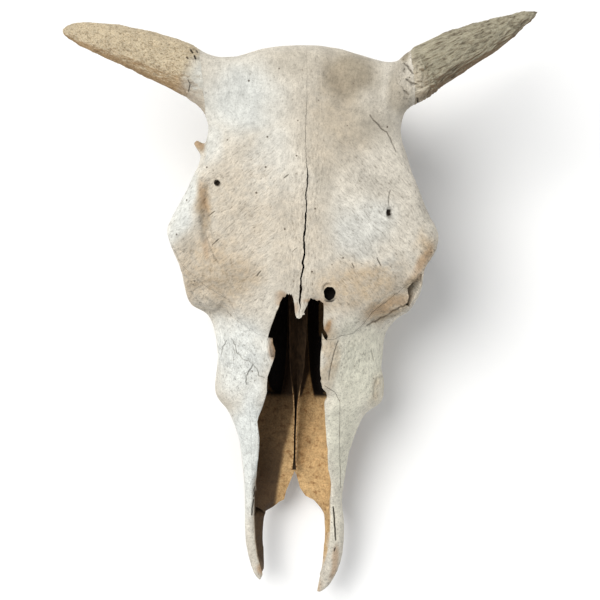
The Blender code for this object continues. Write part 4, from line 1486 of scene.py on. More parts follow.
@dataclass(frozen=True)
class WeatheredBone:
    """Dry sun-bleached bone with fine fibres, pores and stains, and painted shade in its crevices, its greyed
    slopes and its nose.
    """

    name: str = "weathered_bone"
    cream: tuple = (222, 214, 199)
    cool: tuple = (232, 234, 229)
    # The grey is partly the bone's own greying and partly painted shade on slopes and in hollows turned from the
    # light.
    grey: tuple = (166, 155, 136)
    green: tuple = (240, 236, 216)
    stain: tuple = (200, 180, 152)
    enamel: tuple = (216, 203, 176)
    dirt: tuple = (112, 88, 60)
    rust: tuple = (180, 142, 102)
    stroke: tuple = (120, 103, 80)
    pit: tuple = (78, 62, 44)
    inner: tuple = (216, 181, 130)
    inner_dark: tuple = (138, 96, 54)
    # The next four colours are painted shade: for the shaded side of the nose, for its darkest shadow, black for
    # its deep hollows and small holes, and dark for cracks and grooves.
    shaded: tuple = (160, 155, 152)
    painted_shadow: tuple = (62, 46, 32)
    deep: tuple = (20, 13, 8)
    crevice_shade: tuple = (48, 38, 27)
    roughness: float = 0.8

    def fibres(self, g: Graph) -> tuple[bpy.types.NodeSocket, bpy.types.NodeSocket, bpy.types.NodeSocket]:
        """Fine fibres, coarse fibres and short cracks, which lean outward or run straight as painted.

        Args:
            g: The material's nodes.

        Returns:
            Three grey values.
        """
        spot = g.spot()
        bent = g.add("TexNoise", {"Vector": spot, "Scale": 70.0, "Detail": 2.0}).outputs["Color"]
        spot = g.add("VectorMath", {0: spot, 1: g.stretch(bent, (0.006, 0.006, 0.0))}, operation="ADD").outputs[0]
        parts = g.add("SeparateXYZ", {0: spot}).outputs
        across = g.number("ABSOLUTE", g.number("SUBTRACT", parts[0], SITE.midline_x * 0.001 + 0.003))
        side = g.plus(g.times(across, 0.71), g.times(parts[1], 0.70))
        ahead = g.number("SUBTRACT", g.times(parts[1], 0.71), g.times(across, 0.70))
        leaning = g.add("CombineXYZ", {0: side, 1: ahead, 2: parts[2]}).outputs[0]
        tilt, crackle = g.mask("lean"), g.mask("crackle")
        found = []
        for scale, loose, detail in (((760.0, 250.0, 420.0), 640.0, 3.0), ((300.0, 80.0, 170.0), 230.0, 2.0)):
            fibre = g.mix_number(tilt, g.noise(g.stretch(spot, scale), 1.0, detail, 0.62),
                                 g.noise(g.stretch(leaning, scale), 1.0, detail, 0.62))
            found.append(g.mix_number(crackle, fibre, g.noise(spot, loose, detail, 0.6)))
        cells = g.add("TexVoronoi", {"Vector": g.stretch(leaning, (430.0, 190.0, 260.0)), "Scale": 1.0,
                                     "Randomness": 1.0},
                      feature="DISTANCE_TO_EDGE").outputs["Distance"]
        return found[0], found[1], g.ramp(cells, ((0.0, 1.0), (0.075, 0.0)))

    def pits(self, g: Graph, scale: float, share: float, size: float) -> bpy.types.NodeSocket:
        """Scattered small holes.

        Args:
            g: The material's nodes.
            scale: How close the places for holes lie.
            share: The share of places that hold a hole.
            size: A hole's radius as a share of the places' spacing.

        Returns:
            A grey value, 1 in a hole.
        """
        cells = g.add("TexVoronoi", {"Vector": g.spot(), "Scale": scale, "Randomness": 1.0})
        kept = g.number("LESS_THAN", g.add("SeparateColor", {0: cells.outputs["Color"]}).outputs[0], share)
        return g.times(g.ramp(cells.outputs["Distance"], ((size * 0.6, 1.0), (size, 0.0))), kept)

    def tones(self, g: Graph, mottle: bpy.types.NodeSocket) -> bpy.types.NodeSocket:
        """The bleached, stained and greyed colours as painted, the grey partly painted shade.

        Args:
            g: The material's nodes.
            mottle: A grey value that breaks up the stains.

        Returns:
            The colour.
        """
        base = g.blend(g.mask("cool"), colour(*self.cream), colour(*self.cool))
        base = g.blend(g.mask("green"), base, colour(*self.green))
        base = g.blend(g.mask("grey"), base, colour(*self.grey))
        patchy = g.times(g.mask("stain"), g.ramp(mottle, ((0.3, 0.55), (0.62, 1.15))), clamp=True)
        base = g.blend(patchy, base, colour(*self.stain))
        return g.blend(g.mask("rust"), base, colour(*self.rust))

    def lining(self, g: Graph, mottle: bpy.types.NodeSocket) -> bpy.types.NodeSocket:
        """The brown skin of the nose, orange where it is clean, with painted shade on its shaded side and a darker
        painted shadow where it is darkest.

        Args:
            g: The material's nodes.
            mottle: A grey value that clouds the colour.

        Returns:
            The colour.
        """
        speck = g.ramp(g.noise(g.spot(), 620.0, 3.0, 0.62), ((0.40, 1.0), (0.56, 0.0)))
        blots = g.ramp(g.noise(g.spot(), 210.0, 5.0, 0.7), ((0.36, 1.0), (0.5, 0.0)))
        speck = g.larger(g.times(speck, 0.42), g.times(blots, 0.8))
        clean = g.blend(speck, colour(*self.inner), colour(*self.inner_dark))
        clean = g.blend(1.0, clean, g.ramp(mottle, ((0.25, 0.68), (0.5, 0.95), (0.75, 1.15))), "MULTIPLY")
        # Painted shade on the nose's shaded side, then a darker painted shadow where it is darkest.
        shade = g.blend(g.mask("shaded"), clean, g.blend(1.0, clean, colour(*self.shaded), "MULTIPLY"))
        return g.blend(g.mask("painted_shadow"), shade, colour(*self.painted_shadow))

    def make(self) -> bpy.types.Material:
        """Build the material."""
        g = Graph(self.name)
        spot = g.spot()
        fine, coarse, cracks = self.fibres(g)
        blotch = g.noise(spot, 30.0, 3.0, 0.55)
        mottle = g.noise(spot, 150.0, 4.0, 0.62)
        grain = g.noise(spot, 1050.0, 3.0, 0.7)
        rough = g.mask("rough")
        pits = g.larger(self.pits(g, 120.0, 0.16, 0.13),
                        g.times(self.pits(g, 300.0, 0.45, 0.24), g.plus(0.16, g.times(rough, 0.3))), clamp=True)
        flecks = g.ramp(g.noise(spot, 300.0, 6.0, 0.78), ((0.37, 1.0), (0.41, 0.0)))
        pits = g.larger(pits, g.times(flecks, g.times(rough, 0.75)))
        strokes = g.times(g.ramp(fine, ((0.30, 1.0), (0.42, 0.0))), g.ramp(coarse, ((0.35, 1.0), (0.6, 0.25))))
        cracks = g.times(cracks, g.ramp(mottle, ((0.42, 0.0), (0.60, 1.0))))

        base = self.tones(g, mottle)
        base = g.shades(base, (
            (blotch, ((0.28, 0.82), (0.5, 0.98), (0.72, 1.07))),
            (mottle, ((0.25, 0.82), (0.5, 0.98), (0.75, 1.09))),
            (fine, ((0.28, 0.74), (0.5, 0.98), (0.72, 1.15))), (coarse, ((0.28, 0.84), (0.5, 0.98), (0.72, 1.1))),
            (grain, ((0.25, 0.78), (0.5, 1.0), (0.8, 1.13)))))
        base = g.blend(g.times(strokes, 0.55), base, colour(*self.stroke))
        base = g.blend(g.times(cracks, g.times(rough, 0.3)), base, colour(*self.stroke))
        base = g.blend(g.times(pits, 0.8), base, colour(*self.pit))
        base = g.blend(g.mask("inner"), base, self.lining(g, mottle))
        enamel = g.blend(g.mask("dirt"), colour(*self.enamel), colour(*self.dirt))
        base = g.blend(g.mask("enamel"), base,
                       g.blend(1.0, enamel, g.ramp(mottle, ((0.25, 0.8), (0.7, 1.08))), "MULTIPLY"))
        # Painted shade: black in the deep hollows of the nose and in small holes, then dark along the cracks and
        # grooves.
        base = g.blend(g.mask("deep"), base, colour(*self.deep))
        base = g.blend(g.mask("crevice_shade"), base, colour(*self.crevice_shade))

        height = g.plus(g.times(fine, 0.75), g.times(coarse, 0.9))
        height = g.plus(height, g.times(grain, 0.3))
        height = g.plus(height, g.times(mottle, g.plus(0.7, g.times(rough, 2.0))))
        sunk = g.larger(pits, g.times(cracks, rough))
        height = g.number("SUBTRACT", height, g.times(sunk, 0.35))
        bump = g.add("Bump", {"Height": height, "Strength": 0.75, "Distance": 0.0012}).outputs[0]
        return g.finish(base, g.mix_number(g.mask("enamel"), self.roughness, 0.42), 0.26, bump)


@dataclass(frozen=True)
class HornBone:
    """Porous, lengthwise grooved bone of a horn core, which pales towards its base, with painted shade on its side
    turned from the light and along its marks.
    """

    name: str
    light: tuple
    middle: tuple
    dark: tuple
    axis: Row
    grain_along: float
    grain_across: float
    groove: float
    pale: tuple
    # The low colour is painted shade for the side turned from the light.
    low: tuple
    relief: float
    # The colour of the painted shade along the marks.
    deep: tuple = (44, 34, 24)

    def make(self) -> bpy.types.Material:
        """Build the material."""
        g = Graph(self.name)
        spot = g.spot()
        turned = g.add("Mapping", {"Vector": spot, "Rotation": (0.0, 0.0, -math.atan2(self.axis[1], self.axis[0]))},
                       vector_type="POINT").outputs[0]
        fibre = g.noise(g.stretch(turned, (self.grain_along, self.grain_across, self.grain_across)), 1.0, 3.5, 0.66)
        broad = g.noise(g.stretch(turned,
                                  (self.grain_along * 0.3, self.grain_across * 0.36, self.grain_across * 0.36)),
                        1.0, 2.0, 0.6)
        mottle, grain = g.noise(spot, 110.0, 4.0, 0.6), g.noise(spot, 1050.0, 3.0, 0.7)
        sunk = g.mask("pit")
        base = g.blend(g.ramp(fibre, ((0.36, 0.0), (0.58, 1.0))), colour(*self.middle), colour(*self.light))
        # Painted shade, a darker brown on the side turned from the light.
        base = g.blend(g.times(g.mask("low"), 0.85), base, colour(*self.low))
        dark = g.times(g.ramp(fibre, ((0.34, 1.0), (0.43, 0.0))), g.ramp(broad, ((0.32, 1.0), (0.66, 0.3))))
        base = g.blend(g.times(dark, 0.7), base, colour(*self.dark))
        base = g.blend(g.times(sunk, self.groove), base, colour(*self.dark))
        bleached = g.blend(g.times(sunk, self.groove), colour(*self.pale), colour(*self.dark))
        base = g.blend(g.times(g.mask("pale"), g.number("SUBTRACT", 1.0, g.times(g.mask("low"), 0.5))), base,
                       bleached)
        base = g.shades(base, (
            (broad, ((0.28, 0.88), (0.5, 0.98), (0.72, 1.08))), (mottle, ((0.25, 0.80), (0.5, 0.98), (0.75, 1.1))),
            (grain, ((0.22, 0.72), (0.5, 1.0), (0.8, 1.18)))))
        # Painted shade along the cracks and pits of the marks.
        base = g.blend(g.mask("crevice_shade"), base, colour(*self.deep))
        height = g.plus(g.times(fibre, 1.2), g.times(grain, 0.3))
        bump = g.add("Bump", {"Height": height, "Strength": 0.85, "Distance": self.relief}).outputs[0]
        return g.finish(base, 0.82, 0.25, bump)


@dataclass(frozen=True)
class InnerBone:
    """Thin brown bone in the shade of the nose."""

    light: tuple = (84, 64, 44)
    dark: tuple = (46, 34, 23)
    rim: tuple = (226, 190, 140)
    rim_dark: tuple = (150, 108, 66)

    def make(self) -> bpy.types.Material:
        """Build the material."""
        g = Graph("inner_bone")
        spot = g.spot()
        mottle = g.noise(spot, 160.0, 4.0, 0.65)
        base = g.blend(g.ramp(mottle, ((0.35, 0.0), (0.65, 1.0))), colour(*self.dark), colour(*self.light))
        edge = g.blend(g.ramp(g.noise(spot, 500.0, 3.0, 0.6), ((0.4, 0.0), (0.55, 1.0))), colour(*self.rim_dark),
                       colour(*self.rim))
        base = g.blend(g.mask("edge"), base, edge)
        bump = g.add("Bump", {"Height": mottle, "Strength": 0.5, "Distance": 0.001}).outputs[0]
        return g.finish(base, 0.85, 0.2, bump)


@dataclass(frozen=True)
class FloorPaper:
    """The plain white floor of a studio."""

    brightness: float = 0.95

    def make(self) -> bpy.types.Material:
        """Build the material."""
        g = Graph("floor_paper")
        spot = g.add("TexCoord").outputs["Object"]
        tone = g.ramp(g.add("TexNoise", {"Vector": spot, "Scale": 3.0}).outputs[0],
                      ((0.3, self.brightness - 0.005), (0.7, self.brightness)))
        shader = g.add("BsdfPrincipled", {"Base Color": tone, "Roughness": 0.95})
        shader.inputs["Specular IOR Level"].default_value = 0.0
        g.tree.links.new(shader.outputs[0], g.output.inputs[0])
        return g.material


# ---------------------------------------------------------------- horn cores and vomer


@dataclass(frozen=True)
class HornCore:
    """One horn core, grooved or pitted along its length, with the burr at its base."""

    finish: HornBone
    base_px: Row
    tip_px: Row
    groove_depth: float
    groove_size: Row
    burr_height: float
    pale_to: float

    def shape(self, bone: bpy.types.Object) -> None:
        """Divide the core finely and press its grooves, pits and burr into it.

        Args:
            bone: The core.
        """
        apply_modifier(bone, "SUBSURF", levels=1, render_levels=1, subdivision_type="SIMPLE")
        spots, facing = corners(bone), outward(bone)
        along, around = self.lengthwise(spots), self.turned(spots)
        edge = smooth_step(self.from_gap(spots), 0.4, 7.0)
        ridges = noise(around, self.groove_size, 41) + 0.6 * noise(around, np.array(self.groove_size) * 0.45, 42)
        broad = noise(around, np.array(self.groove_size) * 2.4, 43)
        cut = self.groove_depth * (ridges - 0.2) * (0.4 + 0.6 * smooth_step(along, 0.0, 0.22)) + 0.5 * broad
        knobs = np.abs(noise(spots, 5.0, 44)) + 0.5 * np.abs(noise(spots, 2.4, 45))
        burr = self.burr_height * (1 - smooth_step(np.abs(along - 0.08), 0.03, 0.10)) * knobs
        height = (cut + burr) * edge
        place(bone, boxed(spots + facing * height[:, None]))
        hollows = smooth_step(-ridges, 0.25, 0.8) * smooth_step(along, -0.02, 0.15)
        between = (1 - smooth_step(knobs, 0.1, 0.34)) * (1 - smooth_step(np.abs(along - 0.08), 0.03, 0.09)) * edge
        paint(bone, "pit", np.maximum(hollows, between))

    def dress(self, bone: bpy.types.Object, marks: SurfaceMarks) -> None:
        """Pale the core towards its base, and paint shade on its side turned from the light and along the marks on
        it.

        Args:
            bone: The core.
            marks: The marks of the whole skull.
        """
        spots = corners(bone)
        paint(bone, "crevice_shade", marks.crevice_shade(spots, outward(bone)))
        along = self.lengthwise(spots) + 0.035 * noise(spots, 7.0, 46)
        paint(bone, "pale", 1 - smooth_step(along, 0.0, self.pale_to))
        facing = outward(bone)
        # Painted shade on the faces that turn towards the nose and down, away from the light, and more of it near
        # the base.
        low = smooth_step(-facing[:, 1] - 0.55 * facing[:, 2], -0.15, 0.45)
        near_base = smooth_step(-facing[:, 1] - 0.2 * facing[:, 2], -0.1, 0.4) * (1 - smooth_step(along, 0.08, 0.3))
        paint(bone, "low", np.maximum(low, 0.8 * near_base))

    def axis(self) -> tuple[np.ndarray, np.ndarray]:
        """X and Y of the base's middle, and from there to the tip."""
        base = np.array(SITE.seen(*self.base_px, 165.0))
        return base, np.array(SITE.seen(*self.tip_px, 158.0)) - base

    def lengthwise(self, spots: np.ndarray) -> np.ndarray:
        """How far along the core each place lies, from 0 at its base to 1 at its tip."""
        base, reach = self.axis()
        return (spots[:, :2] - base) @ reach / (reach @ reach)

    def turned(self, spots: np.ndarray) -> np.ndarray:
        """The places along, across and above the core's own axis.

        Args:
            spots: The places, in millimetres about the midline.

        Returns:
            One row a place.
        """
        base, reach = self.axis()
        way = reach / np.linalg.norm(reach)
        flat = spots[:, :2] - base
        return np.column_stack([flat @ way, flat @ np.array((-way[1], way[0])), spots[:, 2]])

    def from_gap(self, spots: np.ndarray) -> np.ndarray:
        """How far each place lies outside the core's own gap."""
        return np.abs(spots[:, 0]) - np.abs(spots[:, 0]).min()


@dataclass(frozen=True)
class Vomer:
    """The thin trough of bone on the midline of the nasal floor, whose two edges close up towards the front."""

    middle_px: Outline = ((298.5, 296), (297.8, 340), (296.2, 395), (294.8, 440), (294.4, 469))
    lengths: Row = (-156.0, -148.0, -138.0, -120.0, -100.0, -86.0, -60.0, -10.0, 8.0)
    tops: Row = (50.5, 55.0, 59.0, 64.0, 69.0, 73.0, 80.0, 100.0, 106.0)
    half_widths: Row = (2.8, 1.6, 1.3, 1.25, 1.5, 2.8, 6.4, 8.4, 8.6)
    depths: Row = (2.0, 5.0, 8.0, 10.0, 11.0, 12.0, 14.0, 16.0, 16.0)
    wall: float = 0.8

    def centre(self, along: np.ndarray) -> np.ndarray:
        """The X of the trough's middle at each length."""
        middle = SITE.seen_line(self.middle_px, levels_along(self.lengths, self.tops))
        order = np.argsort(middle[:, 1])
        return np.interp(along, middle[order, 1], middle[order, 0])

    def shape(self) -> bpy.types.Object:
        """Bend a sheet into the trough and thicken it.

        Returns:
            The trough.
        """
        bpy.ops.object.select_all(action="DESELECT")
        bpy.ops.mesh.primitive_grid_add(x_subdivisions=28, y_subdivisions=160, size=2.0)
        trough = bpy.context.object
        trough.name = "vomer_bone"
        trough.data.name = trough.name
        flat = np.empty(len(trough.data.vertices) * 3)
        trough.data.vertices.foreach_get("co", flat)
        across, share = flat[0::3], (flat[1::3] + 1) / 2
        along = self.lengths[0] + share * (self.lengths[-1] - self.lengths[0])
        half, top = np.interp(along, self.lengths, self.half_widths), np.interp(along, self.lengths, self.tops)
        deep = np.interp(along, self.lengths, self.depths)
        ripple = noise(np.column_stack([across * 4, along, along * 0]), 5.0, 71)
        x = self.centre(along) + half * np.sign(across) * np.abs(across) ** 1.3 + 0.35 * ripple
        edge = 0.9 * noise(np.column_stack([across * 0 + np.sign(across) * 9, along, along * 0]), 4.0, 72)
        z = top + edge * np.abs(across) ** 3 - deep * (1 - np.abs(across) ** 1.6)
        place(trough, np.column_stack([x, along, z]))
        apply_modifier(trough, "SOLIDIFY", thickness=self.wall * 0.001, offset=0.0, use_rim=True)
        apply_modifier(trough, "SUBSURF", levels=1, render_levels=1)
        return trough

    def dress(self, trough: bpy.types.Object) -> None:
        """Leave the trough dark and its front edges pale.

        Args:
            trough: The trough.
        """
        spots = corners(trough)
        side = np.abs(spots[:, 0] - self.centre(spots[:, 1]))
        top = np.interp(spots[:, 1], self.lengths, self.tops)
        half = np.interp(spots[:, 1], self.lengths, self.half_widths)
        edge = smooth_step(side / half, 0.45, 0.9) * smooth_step(spots[:, 2] - top, -4.5, -1.0)
        paint(trough, "edge", edge * smooth_step(-spots[:, 1], 74, 92))
        trough.data.materials.append(InnerBone().make())


# ---------------------------------------------------------------- tones of the bone


class Tone(Enum):
    """The colours that patches of the bone take; the grey ones are partly painted shade."""

    COOL = "cool"
    STAIN = "stain"
    GREY_AND_SHADE = "grey"
    GREEN = "green"
    RUST = "rust"


@dataclass(frozen=True)
class Patch:
    """A soft oval region of one tone, placed in the camera's view."""

    tone: Tone
    px: float
    py: float
    half_x: float
    half_y: float
    strength: float = 1.0
    turn_deg: float = 0.0

    def weight(self, seen: np.ndarray) -> np.ndarray:
        """How strongly each point takes the tone.

        Args:
            seen: Where the camera sees the points.

        Returns:
            One value a point.
        """
        turn = math.radians(self.turn_deg)
        dx, dy = seen[:, 0] - self.px, self.py - seen[:, 1]
        u = (dx * math.cos(turn) + dy * math.sin(turn)) / self.half_x
        v = (dy * math.cos(turn) - dx * math.sin(turn)) / self.half_y
        return self.strength * (1 - smooth_step(np.hypot(u, v), 0.35, 1.25))


# The grey patches paint shade on the slope right of the poll, in the left groove, in the right orbit and under the
# right cheek, as well as the bone's greyer tone.
PATCHES = {
    Tone.COOL: ((242, 98, 46, 48, 0.9), (184, 206, 17, 52, 0.8, -26), (240, 352, 32, 52, 0.9),
                (246, 440, 22, 90, 1.0), (364, 222, 34, 34, 0.5), (268, 165, 26, 52, 0.45),
                (386, 266, 18, 16, 0.55), (212, 140, 14, 30, 0.6)),
    Tone.STAIN: ((224, 270, 52, 44, 0.8), (360, 286, 58, 32, 0.85, 14), (206, 208, 11, 40, 0.9),
                 (250, 205, 56, 66, 0.38), (330, 120, 40, 66, 0.3), (388, 308, 30, 15, 1.0, 32),
                 (199, 147, 7, 10, 1.0), (326, 360, 9, 44, 0.7), (190, 290, 16, 28, 0.8), (428, 256, 12, 28, 0.9),
                 (372, 388, 12, 18, 0.5), (300, 240, 40, 70, 0.3)),
    Tone.GREY_AND_SHADE: ((345, 74, 34, 42, 1.0, 28), (405.5, 57, 8, 9, 1.0), (352, 118, 44, 34, 0.6), (398, 92, 16, 34, 0.7),
                (322, 150, 22, 60, 0.3), (298, 62, 38, 26, 0.42), (240, 100, 56, 56, 0.14),
                (202.5, 204, 5, 36, 0.45, 3), (414.5, 286, 7, 15, 1.0, -24), (390, 318, 18, 5, 0.8, 28)),
    Tone.GREEN: ((350, 440, 22, 100, 0.85), (358, 368, 36, 50, 1.0), (336, 520, 14, 44, 0.4)),
    Tone.RUST: ((424, 262, 9, 24, 0.55, -28), (205, 200, 5, 22, 0.4, 6), (210, 252, 5, 12, 0.35),
                (271, 346, 6, 14, 0.9), (326, 334, 3, 9, 0.9), (290, 296, 8, 3, 0.6), (315, 301, 10, 3, 0.6),
                (299, 311, 5, 9, 0.5), (200, 147, 4, 6, 0.5), (257, 570, 8, 9, 0.75), (337, 564, 6, 15, 0.6, -14),
                (321, 584, 8, 10, 0.3), (390, 306, 20, 6, 0.45, 30)),
}


@dataclass
class BoneTones:
    """Where the bone is bleached, stained, greyed or brown, and where shade is painted on it."""

    marks: SurfaceMarks
    opening: NasalOpening
    teeth: CheekTeeth
    holes_px: tuple[Row, ...] = ((329.6, 293.4, 6.2, 7.2), (388.6, 213.0, 1.9, 3.6), (217.2, 182.8, 2.6, 2.8))
    left_prong_px: Outline = ((254.2, 486), (253.7, 515), (254.7, 540), (256.9, 556), (262.2, 574))
    right_prong_px: Outline = ((329.6, 486), (330.4, 515), (330, 534), (328.2, 547), (325.6, 560), (320, 574))
    rim_levels: tuple[Row, Row] = ((-270, -200, -150, -80, -20, 10, 60), (34, 46, 74, 106, 134, 146, 150))
    palate_levels: tuple[Row, Row] = ((-160, -60, 60), (42, 52, 62))
    shade_edge_px: tuple[Row, Row] = ((395, 410, 422, 451, 470, 499), (296, 294.5, 291.2, 283.4, 280.5, 275.5))
    ridge_half_px: tuple[Row, Row] = ((300, 340, 370, 386, 396), (9.0, 10.0, 12.0, 14.5, 16.5))
    ridge_px: float = 297.5
    patches: tuple[Patch, ...] = tuple(Patch(tone, *row) for tone, rows in PATCHES.items() for row in rows)

    def dress(self, bone: bpy.types.Object) -> None:
        """Store every tone at the bone's points.

        Args:
            bone: The bone.
        """
        spots, facing = corners(bone), outward(bone)
        seen = SITE.view(spots)
        moved = seen + 6.0 * np.column_stack([noise(spots, 14.0, 60), noise(spots, 14.0, 61)])
        moved += 9.0 * np.column_stack([noise(spots, 34.0, 62), noise(spots, 34.0, 63)])
        top = smooth_step(facing[:, 2], -0.2, 0.3)
        tones = {tone: np.zeros(len(spots)) for tone in Tone}
        for patch in self.patches:
            tones[patch.tone] = np.maximum(tones[patch.tone], patch.weight(moved) * (0.35 + 0.65 * top))
        # Faces that look down take up to half of the stain colour, so they are darker.
        under = 1 - smooth_step(facing[:, 2], -0.5, 0.1)
        tones[Tone.STAIN] = np.maximum(tones[Tone.STAIN], 0.5 * under)
        lean = (smooth_step(np.abs(spots[:, 0]), 8, 34) * smooth_step(-spots[:, 1], -190, -120)
                * smooth_step(spots[:, 1], -45, -15))
        crackle = np.maximum(0.5 * smooth_step(spots[:, 1], 105, 165), 0.85 * smooth_step(-spots[:, 1], 45, 95))
        masks = {
            **{tone.value: values for tone, values in tones.items()}, **self.teeth.tones(spots, facing),
            **self.lining(spots, facing), "crevice_shade": self.marks.crevice_shade(spots, facing), "lean": lean,
            "crackle": crackle, "rough": np.minimum(RoughPlaces().weight(spots), 1.0),
        }
        for name, values in masks.items():
            paint(bone, name, values)

    def lining(self, spots: np.ndarray, facing: np.ndarray) -> dict[str, np.ndarray]:
        """How far each place belongs to the brown lining of the nose, to its painted shade, to its darker painted
        shadow and to the black painted into its deep hollows.

        Args:
            spots: The places.
            facing: The direction that the surface faces there.

        Returns:
            One value a place for each tone.
        """
        seen = SITE.view(spots)
        rim = np.interp(spots[:, 1], *self.rim_levels)
        faces_in = smooth_step(-facing[:, 0] * np.sign(spots[:, 0] + 3), -0.1, 0.3)
        inner = np.maximum(self.in_nose(spots, facing, rim, faces_in), self.on_prongs(seen))
        wall = smooth_step(seen[:, 0], 318.6, 320.2) * (1 - smooth_step(seen[:, 1], 330, 338))
        shade_edge = np.interp(seen[:, 1], *self.shade_edge_px)
        shaded = np.maximum(smooth_step(shade_edge - seen[:, 0], -2.5, 2.5), wall)
        half = np.interp(seen[:, 1], *self.ridge_half_px)
        ridge = 1 - smooth_step(np.abs(seen[:, 0] - self.ridge_px), half - 0.8, half + 0.8)
        back = smooth_step(spots[:, 1], -91, -86) * smooth_step(rim - spots[:, 2], 12, 26)
        back = back * (1 - wall)
        lit_edge = 309.5 - 0.30 * (seen[:, 1] - 370)
        lit = smooth_step(seen[:, 0] - lit_edge, -1.5, 1.5) * smooth_step(seen[:, 1], 366, 378)
        upright = smooth_step(faces_in, 0.6, 0.9) * (1 - smooth_step(np.abs(facing[:, 2]), 0.3, 0.6))
        # Painted shade on the nose's shaded side and its right wall, a darker painted shadow on the middle ridge
        # and the front of the shaded floor, and black painted into the deep hollows and small holes.
        return {
            "inner": inner,
            "shaded": inner * np.max([shaded, back * ridge * (1 - lit), back * upright], axis=0),
            "deep": np.maximum(inner * back * (1 - ridge) * (1 - 0.85 * upright), self.holes(spots, seen)),
            "painted_shadow": np.maximum(inner * back * ridge * (1 - lit),
                               0.8 * inner * shaded * smooth_step(seen[:, 1], 405, 480)),
        }

    def in_nose(self, spots: np.ndarray, facing: np.ndarray, rim: np.ndarray, faces_in: np.ndarray) -> np.ndarray:
        """How far each place belongs to the walls, the floor or the hollows of the nose.

        Args:
            spots: The places.
            facing: The direction that the surface faces there.
            rim: The level of the nose's rim at each place's length.
            faces_in: How far each place faces the nose's middle.

        Returns:
            One value a place.
        """
        outline = self.opening.outline()
        near, _ = line_distance(spots, np.vstack([outline, outline[:1]]))
        signed = np.where(inside(spots, outline), near, -near)
        side = np.abs(spots[:, 0] + 2)
        along, level = spots[:, 1], spots[:, 2]
        region = (side < 44) & (along < 70) & (along > -262) & (level > 22)
        below = smooth_step(rim - level, 0.0, 7.0)
        floor_like = smooth_step(facing[:, 2], 0.2, 0.5) * smooth_step(signed, -14.0, -6.0) * (level < rim - 12)
        floor_like *= smooth_step(along, -186, -178)
        walls = below * faces_in * (signed > -16)
        hollow = (along > -160) & (level < rim - 16) & (level > 28) & (side < 41)
        hollow &= (signed > -16) | (along > -5)
        above_palate = level > np.interp(along, *self.palate_levels)
        wide = below * faces_in * above_palate * smooth_step(along, -152, -146)
        return region * np.max([walls, floor_like, hollow * 1.0, wide], axis=0)

    def on_prongs(self, seen: np.ndarray) -> np.ndarray:
        """How far each place belongs to the brown inner side of the two premaxillae.

        Args:
            seen: Where the camera sees the places.

        Returns:
            One value a place.
        """
        left, right = (np.interp(seen[:, 1], *np.array(line)[:, ::-1].T)
                       for line in (self.left_prong_px, self.right_prong_px))
        prongs = smooth_step(seen[:, 0] - left, -0.5, 1.0) * smooth_step(right - seen[:, 0], -0.5, 1.0)
        tip = np.where(seen[:, 0] < 295, 0.3 * smooth_step(seen[:, 1], 564, 576),
                       0.7 * smooth_step(seen[:, 1], 552, 566))
        return prongs * smooth_step(seen[:, 1], 484, 492) * (1 - tip)

    def holes(self, spots: np.ndarray, seen: np.ndarray) -> np.ndarray:
        """How strongly each place inside a small hole of the forehead is painted black as shade."""
        dark = np.zeros(len(spots))
        for px, py, half_x, half_y in self.holes_px:
            level = SITE.touch(packed_surface(), px + half_x + 4.0, py)[2]
            reach = np.hypot((seen[:, 0] - px) / half_x, (seen[:, 1] - py) / half_y)
            dark = np.maximum(dark, ((reach < 1.25) * smooth_step(level - spots[:, 2], 1.2, 3.0)
                                     * (spots[:, 2] > 120)))
        return dark


# ---------------------------------------------------------------- stage, light and camera


@dataclass
class Studio:
    """White floor, soft daylight from the upper left, and a camera that looks straight down."""

    eye: tuple[float, float, float] = (0.00919, 0.00815, 1.6)
    lens: float = 101.4
    sensor_width: float = 36.0
    shift_x: float = -2.0 / 600.0
    turn_deg: float = 1.9
    floor_size: float = 9.0
    floor_level: float = -0.0002
    key_strength: float = 2.38
    key_colour: Row = (1.0, 0.985, 0.955)
    key_tilt_x: float = 25.0
    key_tilt_y: float = 16.0
    key_softness_deg: float = 35.0
    sky: float = 0.53
    sky_colour: Row = (0.95, 0.975, 1.0, 1.0)

    def build(self) -> None:
        """Lay the floor, hang the lights and set the camera."""
        bpy.ops.object.select_all(action="DESELECT")
        bpy.ops.mesh.primitive_plane_add(size=self.floor_size, location=(0, 0, self.floor_level))
        floor = bpy.context.object
        floor.name = "studio_floor"
        bpy.ops.object.transform_apply(location=True, rotation=True, scale=True)
        floor.data.materials.append(FloorPaper().make())
        key = bpy.data.objects.new("key_daylight", bpy.data.lights.new("key_daylight", "SUN"))
        key.data.energy = self.key_strength
        key.data.angle = math.radians(self.key_softness_deg)
        key.data.color = self.key_colour
        towards = Vector((math.tan(math.radians(self.key_tilt_x)), -math.tan(math.radians(self.key_tilt_y)), -1.0))
        key.rotation_mode = "QUATERNION"
        key.rotation_quaternion = towards.to_track_quat("-Z", "Y")
        bpy.context.scene.collection.objects.link(key)
        world = bpy.data.worlds.new("studio_air")
        world.use_nodes = True
        world.node_tree.nodes["Background"].inputs[0].default_value = self.sky_colour
        world.node_tree.nodes["Background"].inputs[1].default_value = self.sky
        scene = bpy.context.scene
        scene.world = world
        camera = bpy.data.objects.new("camera", bpy.data.cameras.new("camera"))
        camera.data.lens = self.lens
        camera.data.sensor_width = self.sensor_width
        camera.data.shift_x = self.shift_x
        camera.location = self.eye
        camera.rotation_euler = (0.0, 0.0, math.radians(self.turn_deg))
        scene.collection.objects.link(camera)
        scene.camera = camera
        scene.view_settings.view_transform = "Standard"
        scene.view_settings.look = "None"


# ---------------------------------------------------------------- putting it together

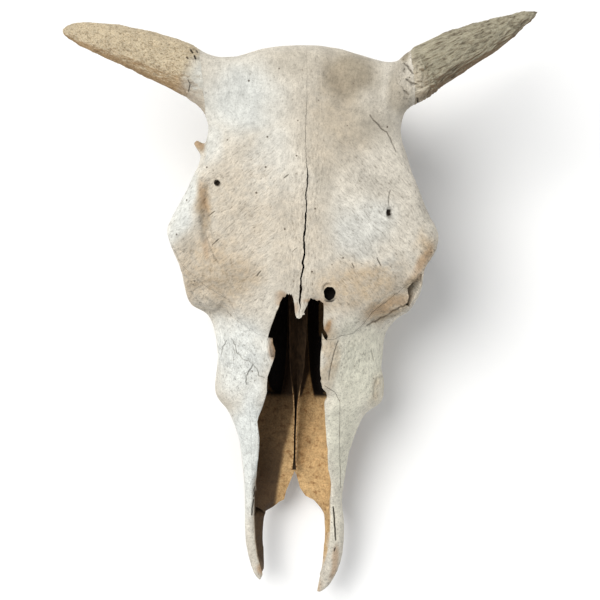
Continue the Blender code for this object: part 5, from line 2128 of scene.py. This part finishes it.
HORN_CORES = {
    "horn_core_left": HornCore(
        finish=HornBone(
            name="horn_core_tan", light=(224, 208, 178), middle=(196, 174, 140), dark=(96, 72, 48),
            pale=(224, 221, 210), low=(176, 142, 100), axis=(-0.96, 0.29), grain_along=620.0, grain_across=980.0,
            groove=0.35, relief=0.0016),
        base_px=(201, 82), tip_px=(65, 29), groove_depth=0.26, groove_size=(2.6, 1.5, 1.5), burr_height=0.3,
        pale_to=0.15),
    "horn_core_right": HornCore(
        finish=HornBone(
            name="horn_core_grey", light=(190, 182, 158), middle=(150, 139, 116), dark=(70, 57, 40),
            pale=(220, 208, 186), low=(138, 112, 82), axis=(0.87, 0.49), grain_along=120.0, grain_across=620.0,
            groove=0.35, relief=0.0036),
        base_px=(408, 80), tip_px=(536, 12), groove_depth=0.9, groove_size=(20.0, 2.6, 2.6), burr_height=2.6,
        pale_to=0.15),
}
SMOOTH_ANGLE_DEG = 38


def shape() -> dict[str, bpy.types.Object]:
    """Build every bone's mesh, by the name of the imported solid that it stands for."""
    shell = SkullSkin()
    skin = shell.build()
    shell.open_up(skin, NasalOpening())
    RoughPlaces().swell(skin)
    CheekTeeth().carve(skin)
    SurfaceMarks().press_in(skin)
    bones = Sutures().part(skin)
    for name, core in HORN_CORES.items():
        core.shape(bones[name])
    bones[VOMER] = Vomer().shape()
    return bones


def dress(bones: dict[str, bpy.types.Object]) -> None:
    """Give every bone its tones and finish, and set it on the frame.

    Args:
        bones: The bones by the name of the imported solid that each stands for.
    """
    tones = BoneTones(SurfaceMarks(), NasalOpening(), CheekTeeth())
    bone_finish = WeatheredBone().make()
    for name, bone in bones.items():
        bone.data.materials.clear()
        if name in HORN_CORES:
            HORN_CORES[name].dress(bone, tones.marks)
            bone.data.materials.append(HORN_CORES[name].finish.make())
        elif name == VOMER:
            Vomer().dress(bone)
        else:
            tones.dress(bone)
            bone.data.materials.append(bone_finish)
        pick(bone)
        bpy.ops.object.shade_smooth_by_angle(angle=math.radians(SMOOTH_ANGLE_DEG))
        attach(bone, "root")
        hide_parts(name)
        LOG.info("%s: %d points", bone.name, len(bone.data.vertices))


def main() -> None:
    """Build every piece in order and report it."""
    logging.basicConfig(level=logging.INFO, format="%(asctime)s %(message)s")
    dress(shape())
    Studio().build()


if __name__ == "__main__":
    main()
